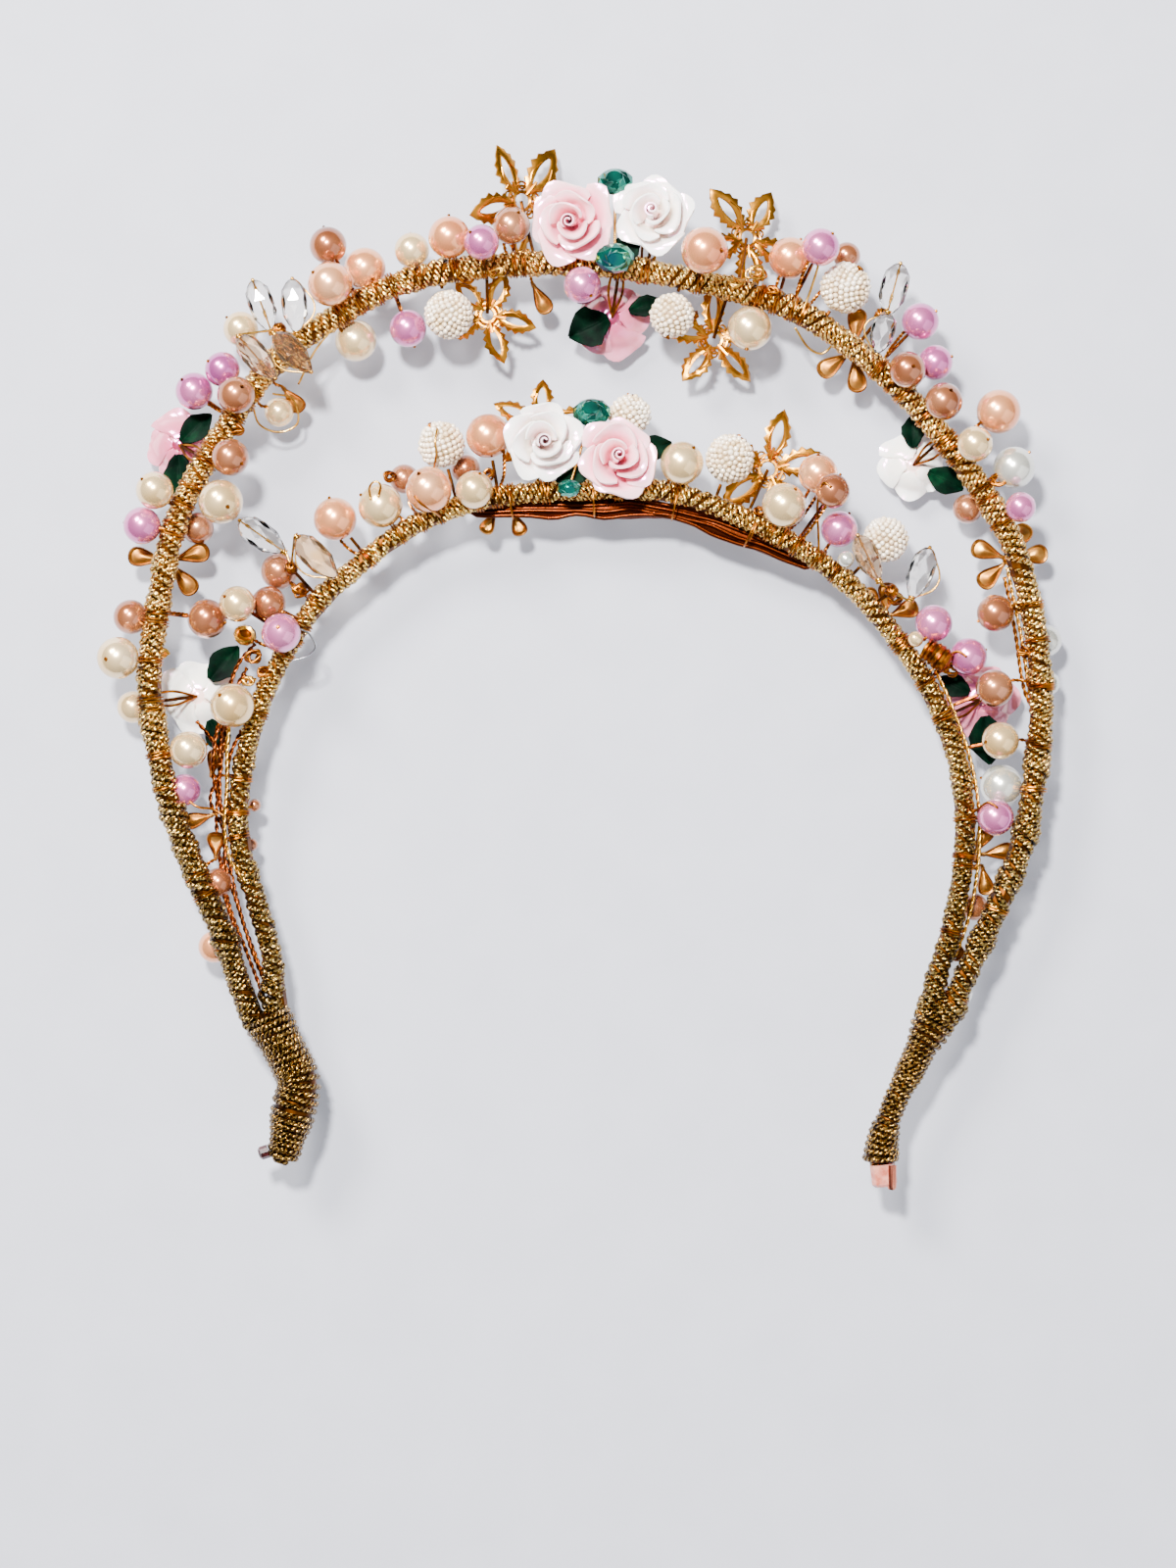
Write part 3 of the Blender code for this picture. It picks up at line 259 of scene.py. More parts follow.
# First seed of the random draws for each kind of piece.
SEEDS = {
    "halo": 3, "inner": 11, "left_end": 21, "right_end": 31, "ball": 40, "leaf": 60, "flower": 70,
    "strip": 90, "strip cord": 94, "large pearl": 100, "small pearl": 200, "ball coil": 300,
    "rose coil": 400, "crystal coil": 500, "crystal hub": 520, "stone coil": 540, "drop flower": 560,
    "spare pearl": 600, "spare drop": 640, "strip tie": 700, "cup": 720, "barrel": 730, "cup stem": 790,
    "knot": 800,
}


def numbered(groups, wanted):
    """Yield the rows of one group, each with its running number in the whole table."""
    number = 0
    for group, rows in groups.items():
        for row in rows:
            if group == wanted:
                yield number, row
            number += 1


# Materials

def srgb(code):
    """Turn a hex colour into linear red, green, blue, alpha."""
    parts = [int(code[i:i + 2], 16) / 255 for i in (0, 2, 4)]
    return tuple(p / 12.92 if p <= 0.04045 else ((p + 0.055) / 1.055) ** 2.4 for p in parts) + (1.0,)


def linear(colour):
    """Return a colour as linear values, whether it is given so or as a hex code."""
    return srgb(colour) if isinstance(colour, str) else colour


# The mix node's sockets for colours go by number, because their names repeat.
MIX_INPUTS = (0, 6, 7)
MIX_RESULT = 2


class Finish:
    """A material with short calls for the nodes that the finishes share."""

    def __init__(self, name, **values):
        self.material = bpy.data.materials.new(name)
        self.material.use_nodes = True
        self.tree = self.material.node_tree
        self.shader = self.tree.nodes["Principled BSDF"]
        self.place = None
        for key, value in values.items():
            self.shade(key.replace("_", " "), value)

    def feed(self, socket, value):
        """Link another node's output to a socket, or set a plain value or colour on it."""
        if isinstance(value, bpy.types.NodeSocket):
            self.tree.links.new(value, socket)
        else:
            socket.default_value = linear(value)

    def shade(self, key, value):
        """Link or set one of the shader's inputs."""
        self.feed(self.shader.inputs[key], value)

    def node(self, kind, **values):
        """Add a node; each value is one of its settings or inputs."""
        made = self.tree.nodes.new(kind)
        for key, value in values.items():
            if hasattr(made, key):
                setattr(made, key, value)
            else:
                self.feed(made.inputs[key.replace("_", " ")], value)
        return made

    def coords(self):
        """Return the place on the object, in metres."""
        if self.place is None:
            self.place = self.node("ShaderNodeTexCoord").outputs["Object"]
        return self.place

    def split(self, vector):
        """Return a vector's parts, by their names X, Y and Z."""
        return self.node("ShaderNodeSeparateXYZ", Vector=vector).outputs

    def strand(self):
        """Return the place along (X) and across (Y) a strand or a petal."""
        return self.split(self.node("ShaderNodeUVMap", uv_map="strand").outputs["UV"])

    def noise(self, scale, detail=3.0, roughness=0.55):
        values = {"Scale": scale, "Detail": detail, "Roughness": roughness, "Vector": self.coords()}
        return self.node("ShaderNodeTexNoise", **values).outputs["Fac"]

    def cells(self, scale):
        return self.node("ShaderNodeTexVoronoi", Scale=scale, Vector=self.coords()).outputs["Color"]

    def ramp(self, source, *stops):
        """Turn a value into a colour through (place, colour) stops."""
        made = self.node("ShaderNodeValToRGB", Fac=source)
        bar = made.color_ramp
        while len(bar.elements) < len(stops):
            bar.elements.new(0.5)
        for element, (spot, colour) in zip(bar.elements, stops):
            element.position = spot
            element.color = linear(colour)
        return made.outputs["Color"]

    def remap(self, source, low, high, start=0.0, end=1.0):
        """Stretch a value from the span start to end onto the span low to high."""
        spans = {"From_Min": start, "From_Max": end, "To_Min": low, "To_Max": high}
        return self.node("ShaderNodeMapRange", Value=source, **spans).outputs["Result"]

    def math(self, operation, *values, kind="ShaderNodeMath"):
        made = self.node(kind, operation=operation)
        for socket, value in zip(made.inputs, values):
            self.feed(socket, value)
        return made.outputs[0]

    def vector_math(self, operation, *values):
        return self.math(operation, *values, kind="ShaderNodeVectorMath")

    def mix(self, share, first, second):
        """Blend two colours by a share."""
        made = self.node("ShaderNodeMix", data_type="RGBA")
        for number, value in zip(MIX_INPUTS, (share, first, second)):
            self.feed(made.inputs[number], value)
        return made.outputs[MIX_RESULT]

    def bump(self, source, distance, strength, **onto):
        """Turn a height into a relief; the distance is in millimetres."""
        values = {"Height": source, "Strength": strength, "Distance": distance * MM}
        return self.node("ShaderNodeBump", **values, **onto).outputs["Normal"]

    def flecked(self, colours, amount):
        """Turn the surface's normal a different way in each cell of colour."""
        centred = self.vector_math("SUBTRACT", colours, (0.5, 0.5, 0.5))
        normal = self.node("ShaderNodeNewGeometry").outputs["Normal"]
        turned = self.vector_math("MULTIPLY_ADD", centred, (amount, amount, amount), normal)
        return self.vector_math("NORMALIZE", turned)

    def clouded(self, scale, detail, *stops):
        """Colour the surface through the stops by a soft noise, and return the noise."""
        cloud = self.noise(scale, detail)
        self.shade("Base Color", self.ramp(cloud, *stops))
        return cloud

    def rough(self, source, low, high):
        """Vary the roughness with a value."""
        self.shade("Roughness", self.remap(source, low, high))

    def grained(self, scale, detail, distance, strength):
        """Give the surface a fine relief."""
        self.shade("Normal", self.bump(self.noise(scale, detail), distance, strength))


# The plies twisted in the cord, its grain and its flecks of foil: lengths in millimetres, scales per metre.
PLY_LENGTH = 1.0
PLIES = 2
PLY_RELIEF = 0.30
GRAIN_SCALE = 1500.0
GRAIN_RELIEF = 0.12
FLECK_SCALE = 1700.0
FLECK_TURN = 1.15
# The cord is darker toward the bottom, where the ends lie: painted shade for the light falling off there. How
# much, and between which heights in metres.
PAINTED_LOW_SHADE = 0.70
PAINTED_LOW_SHADE_SPAN = (-0.052, 0.036)


def cord_finish(name, dark, middle, bright, glitter):
    """Metallic cord: plies that twist along each strand, and flecks of foil that catch the light; painted
    shade darkens the strands' sides toward the core, the valleys between the plies and the cord lower down.
    """
    made = Finish(name, Metallic=1.0)
    strand = made.strand()
    along = made.math("MULTIPLY", strand["X"], TAU / PLY_LENGTH)
    around = made.math("MULTIPLY", strand["Y"], TAU * PLIES)
    plies = made.remap(made.math("SINE", made.math("ADD", along, around)), 0.0, 1.0, -1.0, 1.0)
    # Painted shade: each strand darkens toward the sides that face the core, where the windings shade each
    # other.
    outward = made.math("COSINE", made.math("MULTIPLY", strand["Y"], TAU))
    painted_groove_shade = made.remap(outward, 0.0, 1.0, 0.05, 0.75)
    grain = made.noise(GRAIN_SCALE, 4.0, 0.7)
    flecks = made.cells(FLECK_SCALE)
    spark = made.ramp(flecks, (0.42, "000000"), (0.72, "FFFFFF"))
    # The plies' share of the tone lightens their crests and darkens the valleys between them: painted shade,
    # on top of the grain's random tone.
    tone = made.math("ADD", made.math("MULTIPLY", grain, 0.65), made.math("MULTIPLY", plies, 0.35))
    base = made.ramp(tone, (0.31, dark), (0.44, middle), (0.58, bright))
    lit = made.mix(made.math("MULTIPLY", spark, glitter), base, bright)
    # Painted shade: lower down, the colour is mixed toward the dark one.
    blend_share = made.remap(made.split(made.coords())["Y"], PAINTED_LOW_SHADE, 0.0, *PAINTED_LOW_SHADE_SPAN)
    made.shade("Base Color", made.mix(blend_share, made.mix(painted_groove_shade, dark, lit), dark))
    made.rough(grain, 0.30, 0.12)
    low = made.bump(plies, PLY_RELIEF, 1.0, Normal=made.flecked(flecks, FLECK_TURN))
    made.shade("Normal", made.bump(grain, GRAIN_RELIEF, 0.8, Normal=low))
    return made.material


def wire_finish(name, dark, bright, roughness=0.24):
    """Craft wire: polished metal with drawn lines and slight tarnish."""
    made = Finish(name, Metallic=1.0)
    tarnish = made.clouded(420.0, 4.0, (0.34, dark), (0.62, bright))
    made.rough(tarnish, roughness + 0.14, roughness)
    made.grained(1800.0, 2.0, 0.03, 0.5)
    return made.material


def brass_finish(name, dark, middle, bright, roughness=0.26):
    """Stamped plated metal: darker in the hollows, worn bright on the edges."""
    made = Finish(name, Metallic=1.0)
    cloud = made.noise(260.0, 5.0)
    edge = made.node("ShaderNodeNewGeometry").outputs["Pointiness"]
    blend_share = made.math("MULTIPLY", made.remap(edge, 0.0, 1.0, 0.46, 0.56), 0.45)
    base = made.ramp(cloud, (0.30, dark), (0.52, middle), (0.72, bright))
    made.shade("Base Color", made.mix(blend_share, base, bright))
    made.rough(cloud, roughness + 0.14, roughness - 0.06)
    made.grained(1400.0, 3.0, 0.05, 0.6)
    return made.material


def pearl_finish(name, shade, body, glow):
    """Glass pearl: a soft body under thin nacre, with a clear coat over it."""
    made = Finish(name, Metallic=0.72, Coat_Weight=1.0, Coat_Roughness=0.03, Coat_IOR=1.6)
    made.clouded(90.0, 2.0, (0.25, shade), (0.50, body), (0.75, glow))
    made.rough(made.noise(700.0), 0.28, 0.18)
    made.grained(300.0, 2.0, 0.02, 0.3)
    return made.material


def porcelain_finish(name, deep, body, rim):
    """Glazed porcelain under a lustre glaze: deeper colour toward each petal's root, partly the rose's own
    deeper heart and partly painted shade between the petals, and paler rims.
    """
    made = Finish(name, Coat_Weight=1.0, Coat_Roughness=0.03, Coat_IOR=1.55,
                  Subsurface_Weight=0.18, Subsurface_Scale=0.0012, Subsurface_Radius=(1.0, 0.55, 0.5),
                  Thin_Film_Thickness=420.0, Thin_Film_IOR=1.9)
    # Deeper toward each petal's root: partly the rose's own colour, partly painted shade in the folds.
    height = made.math("ADD", made.strand()["Y"], made.remap(made.noise(240.0), -0.16, 0.16))
    made.shade("Base Color", made.ramp(height, (0.10, deep), (0.55, body), (0.95, rim)))
    made.rough(made.noise(700.0), 0.12, 0.24)
    made.grained(420.0, 2.0, 0.08, 0.5)
    return made.material


def leaf_finish():
    """Glazed dark green porcelain, a little uneven."""
    made = Finish("green_porcelain", Specular_IOR_Level=0.03)
    cloud = made.clouded(260.0, 4.0, (0.32, "000503"), (0.58, "001309"), (0.80, "032A16"))
    made.rough(cloud, 0.66, 0.50)
    made.grained(500.0, 3.0, 0.15, 0.7)
    return made.material


def seed_finish():
    """Tiny glass seed beads with a lustre."""
    made = Finish("seed_beads", Metallic=0.15, Coat_Weight=1.0, Coat_Roughness=0.05)
    shades = made.ramp(made.cells(620.0), (0.2, "DCC29A"), (0.5, "EFDCC0"), (0.8, "FBF0DE"))
    made.shade("Base Color", shades)
    made.rough(made.noise(900.0), 0.10, 0.24)
    return made.material


def glass_finish(name, tint, clear=1.0):
    """Cut glass with faint streaks in it."""
    made = Finish(name, IOR=1.46, Roughness=0.02, Transmission_Weight=clear, Coat_Weight=0.4,
                  Coat_Roughness=0.02)
    paler = tuple(0.5 + 0.5 * part for part in srgb(tint))
    made.clouded(160.0, 2.0, (0.3, tint), (0.75, paler))
    made.grained(700.0, 3.0, 0.02, 0.3)
    return made.material


def green_glass_finish():
    """Deep green cut glass with a mirror back and a lustre that shifts to teal."""
    made = Finish("green_crystal", Metallic=0.9, Coat_Weight=0.6, Coat_Roughness=0.02)
    cloud = made.clouded(160.0, 1.0, (0.36, "02594C"), (0.52, "06917A"), (0.66, "0C6E74"))
    made.rough(cloud, 0.03, 0.08)
    return made.material


def plastic_finish(name, dark, bright, roughness):
    """Soft clear-coated plastic with a cloudy body."""
    made = Finish(name, Roughness=roughness, Transmission_Weight=0.25, Coat_Weight=0.6,
                  Subsurface_Weight=0.3, Subsurface_Scale=0.002)
    made.clouded(500.0, 3.0, (0.35, dark), (0.65, bright))
    made.grained(900.0, 3.0, 0.05, 0.5)
    return made.material


FINISHES = {
    "cord": cord_finish("gold_cord", "160700", "D0861C", "FFD878", 0.54),
    "end cord": cord_finish("dark_gold_cord", "120500", "7C4008", "FFC85E", 0.42),
    "wire": wire_finish("gold_wire", "4E1E02", "B87018"),
    # The core wire under the windings is made near black, so the gaps between the windings show painted
    # shade.
    "core": wire_finish("core_wire", "1C0C02", "5E3208", 0.34),
    "vine": wire_finish("vine_wire", "2E1002", "96480E", 0.18),
    "gold": wire_finish("bright_gold_wire", "946010", "F0BC50", 0.18),
    "silver": wire_finish("steel_wire", "8D8F93", "D8DADE", 0.2),
    "brass": brass_finish("gold_metal", "3A1C02", "8E5206", "E6A030"),
    "foil": brass_finish("bronze_foil", "3A1A06", "86501C", "CC9448", 0.34),
    "copper": brass_finish("copper", "6E1F14", "C4573C", "F7A184", 0.2),
    "strip": brass_finish("dark_strip", "160402", "3A1206", "6E2E0E", 0.24),
    "cream": pearl_finish("cream_pearl", "E6BA74", "F4D298", "FCE2B4"),
    "ivory": pearl_finish("ivory_pearl", "C6C6B6", "D8D8CC", "E8E8DE"),
    "peach": pearl_finish("peach_pearl", "EC8450", "F6A26A", "FCBC8C"),
    "bronze": pearl_finish("bronze_pearl", "7C3E22", "A2603A", "C2825A"),
    "mauve": pearl_finish("mauve_pearl", "B45298", "D46EA8", "E890BC"),
    "pink": porcelain_finish("pink_porcelain", "C83A5E", "F294AC", "FFC8CE"),
    # A darker copy of the pink porcelain, for the pink roses that face the front: painted shade.
    "pink_painted_shade": porcelain_finish("pink_porcelain_painted_shade", "7C1A36", "C65C7C", "DE8CA0"),
    "white": porcelain_finish("white_porcelain", "F6D4C8", "FFF9EC", "FFFFFA"),
    "blush": porcelain_finish("blush_porcelain", "EC96B0", "F8C8D4", "FFEDEE"),
    "leaf": leaf_finish(),
    "seed": seed_finish(),
    "thread": plastic_finish("bead_thread", "8A6C46", "BC9C70", 0.6),
    "tip": plastic_finish("dark_red_tip", "1C0202", "52100C", 0.2),
    "clear": glass_finish("clear_crystal", "FBF8F0"),
    "champagne": glass_finish("champagne_crystal", "F2BE78", 0.98),
    "green": green_glass_finish(),
    "sleeve": plastic_finish("pink_sleeve", "B45C48", "DE9580", 0.25),
}


# Shapes

class Shape:
    """Points and faces in millimetres; each face carries a finish and its corners' strand places."""

    def __init__(self):
        self.points = []
        self.faces = []
        self.places = []
        self.marks = []
        self.finishes = []
        self.total = 0

    def add(self, points, blocks, finish, places=None):
        """Take in points and blocks of faces; places are one (u, v) pair per face corner."""
        if finish not in self.finishes:
            self.finishes.append(finish)
        mark = self.finishes.index(finish)
        points = np.asarray(points, float).reshape(-1, 3)
        for i, block in enumerate(blocks):
            block = np.asarray(block, int)
            self.faces.extend((block + self.total).tolist())
            self.marks.extend([mark] * len(block))
            spots = places[i] if places is not None else np.zeros(block.shape + (2,))
            self.places.append(np.asarray(spots, float).reshape(-1, 2))
        self.points.append(points)
        self.total += len(points)


def make_piece(name, shape, stands_for=(), sharp=None, flat=False):
    """Turn a shape into a piece that rides with the part."""
    mesh = bpy.data.meshes.new(name)
    points = np.concatenate(shape.points) * MM
    mesh.from_pydata(points.tolist(), [], shape.faces)
    layer = mesh.uv_layers.new(name="strand")
    layer.data.foreach_set("uv", np.concatenate(shape.places).ravel())
    for finish in shape.finishes:
        mesh.materials.append(FINISHES[finish])
    mesh.polygons.foreach_set("material_index", shape.marks)
    if not flat:
        mesh.shade_smooth()
        if sharp:
            mesh.set_sharp_from_angle(angle=math.radians(sharp))
    mesh.update()
    made = bpy.data.objects.new(name, mesh)
    bpy.context.scene.collection.objects.link(made)
    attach(made, "root")
    if stands_for:
        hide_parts(*stands_for)
    return made


def unit(vectors):
    """Scale each vector to length one."""
    vectors = np.asarray(vectors, float)
    return vectors / np.maximum(np.linalg.norm(vectors, axis=-1, keepdims=True), TINY)


def curve_through(points, spacing, steps=24):
    """Sample a smooth curve through the points at an even spacing."""
    known = np.asarray(points, float)
    ring = np.vstack([known[0] * 2 - known[1], known, known[-1] * 2 - known[-2]])
    fine = []
    for i in range(1, len(ring) - 2):
        p0, p1, p2, p3 = ring[i - 1:i + 3]
        t = (np.arange(steps) / steps)[:, None]
        fine.append(0.5 * (2 * p1 + (p2 - p0) * t + (2 * p0 - 5 * p1 + 4 * p2 - p3) * t * t
                           + (3 * p1 - p0 - 3 * p2 + p3) * t ** 3))
    fine = np.vstack(fine + [known[-1:]])
    return evenly(fine, spacing)


def lengths_along(path):
    """Return the distance along a path at each of its points."""
    return np.concatenate([[0.0], np.cumsum(np.linalg.norm(np.diff(path, axis=0), axis=1))])


def evenly(path, spacing):
    """Sample a path again at an even spacing."""
    lengths = lengths_along(path)
    want = np.linspace(0.0, lengths[-1], max(2, round(lengths[-1] / spacing)) + 1)
    return np.stack([np.interp(want, lengths, path[:, k]) for k in range(3)], axis=1)


def smooth_noise(at, wavelength, seed):
    """Return values between -1 and 1 that change smoothly along a length."""
    draw = np.random.default_rng(seed)
    knots = draw.uniform(-1.0, 1.0, int(max(at) / wavelength) + 3)
    spot = np.asarray(at) / wavelength
    low = spot.astype(int)
    share = spot - low
    share = share * share * (3 - 2 * share)
    return knots[low] * (1 - share) + knots[low + 1] * share


def rings_to_shape(shape, rings, finish, lengths=None, closed=False):
    """Join rings of points (count x sides x 3) into a tube with capped ends, or into a closed loop."""
    count, sides = rings.shape[:2]
    index = np.arange(count * sides).reshape(count, sides)
    last = count if closed else count - 1
    a = index[np.arange(last)]
    b = index[(np.arange(last) + 1) % count]
    quads = np.stack([a, np.roll(a, -1, 1), np.roll(b, -1, 1), b], axis=-1).reshape(-1, 4)
    if lengths is None:
        lengths = np.arange(count, dtype=float)
    after = np.append(lengths, lengths[-1] + lengths[1] - lengths[0])[1:last + 1, None]
    before = lengths[:last, None]
    low = np.arange(sides) / sides
    high = (np.arange(sides) + 1) / sides
    places = np.zeros((last, sides, 4, 2))
    for corner, (u, v) in enumerate(((before, low), (before, high), (after, high), (after, low))):
        places[:, :, corner, 0] = u
        places[:, :, corner, 1] = v
    points = rings.reshape(-1, 3)
    blocks, spots = [quads], [places]
    if not closed:
        points = np.vstack([points, rings[0].mean(0), rings[-1].mean(0)])
        first, final = count * sides, count * sides + 1
        start = np.stack([np.roll(index[0], -1), index[0], np.full(sides, first)], axis=-1)
        end = np.stack([index[-1], np.roll(index[-1], -1), np.full(sides, final)], axis=-1)
        blocks += [start, end]
        spots += [np.zeros((sides, 3, 2))] * 2
    shape.add(points, blocks, finish, spots)


def off_axis(axis):
    """Return a fixed direction that is well away from an axis."""
    return UP if abs(axis @ UP) < 0.9 else SIDEWAYS


def circle(spin, side, third, wide=1.0, deep=1.0):
    """Return the directions at the angles of spin, from two directions across an axis."""
    return wide * np.cos(spin)[:, None] * side + deep * np.sin(spin)[:, None] * third


def sections(path, radius, side, third, sides, flat=1.0):
    """Return a ring of points round each point of a path."""
    turn = np.arange(sides) * TAU / sides
    wide = np.cos(turn)[None, :, None] * side[:, None]
    deep = flat * np.sin(turn)[None, :, None] * third[:, None]
    return path[:, None] + radius[:, None, None] * (wide + deep)


def transport(path, closed=False):
    """Return tangents and turning-free normals along a path."""
    tangents = unit(np.gradient(path, axis=0))
    if closed:
        tangents = unit(np.roll(path, -1, 0) - np.roll(path, 1, 0))
    normals = np.zeros_like(path)
    normal = np.cross(tangents[0], off_axis(tangents[0]))
    for i, along in enumerate(tangents):
        normal = normal - along * (normal @ along)
        normal /= max(np.linalg.norm(normal), TINY)
        normals[i] = normal
    return tangents, normals


def add_tube(shape, path, radius, finish, sides=6, closed=False, flat=1.0, normals=None):
    """Sweep a round or flattened section along a path."""
    path = np.asarray(path, float)
    tangents, found = transport(path, closed)
    normals = found if normals is None else normals
    radius = np.broadcast_to(np.asarray(radius, float), (len(path),))
    rings = sections(path, radius, normals, np.cross(tangents, normals), sides, flat)
    rings_to_shape(shape, rings, finish, lengths_along(path), closed)


def add_wire(shape, points, radius=0.3, finish="wire", sides=6, spacing=0.8):
    """Sweep a wire along a smooth curve through the points."""
    add_tube(shape, curve_through(points, spacing), radius, finish, sides)


TWIST_WIRES = 2


def add_twist(shape, points, radius, apart, pitch, finish="wire"):
    """Sweep twisted wires along a smooth curve through the points."""
    path = curve_through(points, pitch / 9)
    tangents, normals = transport(path)
    across = np.cross(tangents, normals)
    turn = lengths_along(path) * TAU / pitch
    for k in range(TWIST_WIRES):
        around = circle(turn + k * TAU / TWIST_WIRES, normals, across)
        add_tube(shape, path + apart * around, radius, finish, 5)


def add_coil(shape, centre, axis, radius, wire, turns, pitch, seed, finish="wire"):
    """Wrap a few turns of wire round an axis."""
    axis = unit(axis)
    side = unit(np.cross(axis, off_axis(axis)))
    third = np.cross(axis, side)
    share = np.linspace(0.0, turns, max(8, int(turns * 12)))
    start = np.random.default_rng(seed).uniform(0, TAU)
    wobble = radius + wire * 0.3 * smooth_noise(share * 10, 7, seed + 1)
    around = wobble[:, None] * circle(share * TAU + start, side, third)
    path = np.asarray(centre)[None] + around + ((share - turns / 2) * pitch)[:, None] * axis
    add_tube(shape, path, wire, finish, 5)


def add_turned(shape, centre, axis, profile, sides, finish):
    """Turn a profile of (height, radius) rings round an axis."""
    axis = unit(axis)
    side = unit(np.cross(off_axis(axis), axis))
    around = circle(np.arange(sides) * TAU / sides, side, np.cross(axis, side))
    rings = [np.asarray(centre)[None] + axis * height + radius * around for height, radius in profile]
    rings_to_shape(shape, np.array(rings), finish, np.linspace(0.0, 1.0, len(profile)))


def way(angle, rise=0.0):
    """Return the direction at an angle in the plane and a rise out of it, both in degrees."""
    a, e = math.radians(angle), math.radians(rise)
    return np.array((math.cos(a) * math.cos(e), math.sin(a) * math.cos(e), math.sin(e)))


# Bands and wound cord

def end_of_band(section, below, spread):
    """Return where a band meets a wound end, and the direction it meets it in."""
    start = np.array((section[0], section[1], BAND_Z))
    along = unit(np.array((below[0], below[1], BAND_Z)) - start)
    across = np.array((-along[1], along[0], 0.0))
    return start - along * GAP + across * spread, along


def band_line(middle, spreads, spacing=0.5):
    """Return an arch's middle line from the left wound end to the right one."""
    left, left_way = end_of_band(LEFT_END[0], LEFT_END[1], spreads[0])
    right, right_way = end_of_band(RIGHT_END[0], RIGHT_END[1], spreads[1])
    points = [left, left - left_way * END_RUN] + [(x, y, BAND_Z) for x, y in middle]
    points += [right - right_way * END_RUN, right]
    return curve_through(points, spacing)


# Half the length over which the direction of a wound core is averaged.
STEADY = 2.2
# How the cord strays in its turn, its distance and its thickness: how much, over which length, and what is
# added to the seed.
DRIFT = ((0.55, 9.0, 0), (0.25, 3.0, 1))
UNEVEN = ((0.10, 2.3, 7), (0.05, 0.9, 17))
SWELLING = (0.12, 1.7, 27)


def wind(shape, line, core, strand, starts, pitch, seed, segments, finish, sides):
    """Wind strands of cord round a line; core gives the radius of their middle along it."""
    lengths = lengths_along(line)
    at = np.linspace(0.0, lengths[-1], int(lengths[-1] / pitch * segments))
    centre = np.stack([np.interp(at, lengths, line[:, k]) for k in range(3)], axis=1)
    tangent = unit(np.gradient(centre, axis=0))
    reach = max(1, int(STEADY / (at[1] - at[0])))
    padded = np.pad(tangent, ((reach, reach), (0, 0)), mode="edge")
    sums = np.cumsum(np.vstack([np.zeros((1, 3)), padded]), axis=0)
    tangent = unit(sums[2 * reach + 1:] - sums[:-2 * reach - 1])
    side = unit(np.cross(tangent, UP))
    third = np.cross(side, tangent)

    def stray(size, wavelength, offset):
        return size * smooth_noise(at, wavelength, seed + offset)
    drift = stray(*DRIFT[0]) + stray(*DRIFT[1])
    for k in range(starts):
        out = circle((at / pitch + k / starts) * TAU + drift * TAU / starts, side, third)
        uneven = core(at)
        for size, wavelength, offset in UNEVEN:
            uneven = uneven + stray(size, wavelength, offset + k)
        path = centre + out * uneven[:, None]
        across = np.cross(unit(np.gradient(path, axis=0)), out)
        size, wavelength, offset = SWELLING
        thick = strand * (1 + stray(size, wavelength, offset + k))
        rings_to_shape(shape, sections(path, thick, out, across, sides), finish, lengths_along(path))


def lumps_along(length, spacing, seed, highest):
    """Return the places and heights of the lumps along a wound band."""
    draw = np.random.default_rng(seed)
    spots = np.arange(spacing * 0.5, length, spacing)
    spots = spots + draw.uniform(-0.3, 0.3, len(spots)) * spacing
    return spots, draw.uniform(0.0, highest, len(spots))


# Lumps that stand out on each arch's lower runs: x, y, height.
INNER_LUMPS = [
    (-64.9, -70.2, 0.95), (-66.2, -66.4, 0.3), (73.9, -72.2, 0.95), (76.4, -67.4, 0.35),
    (-69.2, -44.0, 0.4),
]
HALO_LUMPS = [
    (100.3, -19.2, 0.55), (97.1, -36.0, 0.7), (92.9, -45.5, 0.6), (86.2, -59.1, 0.7), (79.9, -72.9, 0.5),
    (-90.2, -32.2, 0.6), (-84.0, -44.5, 0.4), (-76.5, -60.5, 0.5), (-92.4, -14.0, 0.45),
]


def lumpy(radius, spots, heights, width=1.9):
    """Return a radius along a band that swells at its lumps."""
    def core(at):
        swell = heights[None] * np.exp(-((at[:, None] - spots[None]) / width) ** 2)
        return radius + swell.sum(1)
    return core


# Each arch: middle line, radius, lumps that stand out, height of the highest lump between them.
ARCHES = {
    "halo": (band_line(HALO_LINE, HALO_SPREAD), HALO_R, HALO_LUMPS, 0.55),
    "inner": (band_line(INNER_LINE, INNER_SPREAD), INNER_R, INNER_LUMPS, 0.35),
}


def nearest_on(line, spot):
    """Return the closest point of a line and its direction there."""
    spot = np.asarray(spot, float)
    i = int(np.argmin(np.linalg.norm(line - spot, axis=1)))
    a, b = max(i - 1, 0), min(i + 1, len(line) - 1)
    return line[i], unit(line[b] - line[a])


def nearest_band(spot):
    """Return the closest band's point, its direction and its radius."""
    found = []
    for line, radius, _, _ in ARCHES.values():
        point, along = nearest_on(line, spot)
        found.append((np.linalg.norm(point - np.asarray(spot)) - radius, point, along, radius))
    return min(found, key=lambda row: row[0])[1:]


# The cord on the arches: spacing of the lumps, how deep the strands' middle lies, their radius, how many
# run side by side, how far one turn takes them, and points per turn and per section.
LUMP_SPACING = 7.6
ARCH_SINK = 0.50
ARCH_STRAND = 0.86
ARCH_STRANDS = 3
ARCH_PITCH = 5.4
ARCH_POINTS = 24
ARCH_SIDES = 7
# The cord on the ends, in the same order, and how far it runs past the first and the last section.
END_SINK = 0.26
END_STRAND = 0.72
END_PITCH = 1.34
END_POINTS = 40
END_SIDES = 6
END_LEAD = 2.2
END_TAIL = 0.35
# The lengths over which an end opens and closes, its least radius, and the core's share of its radius.
END_OPENS = 2.4
END_CLOSES = 1.3
END_LEAST = 0.4
END_CORE = 0.94


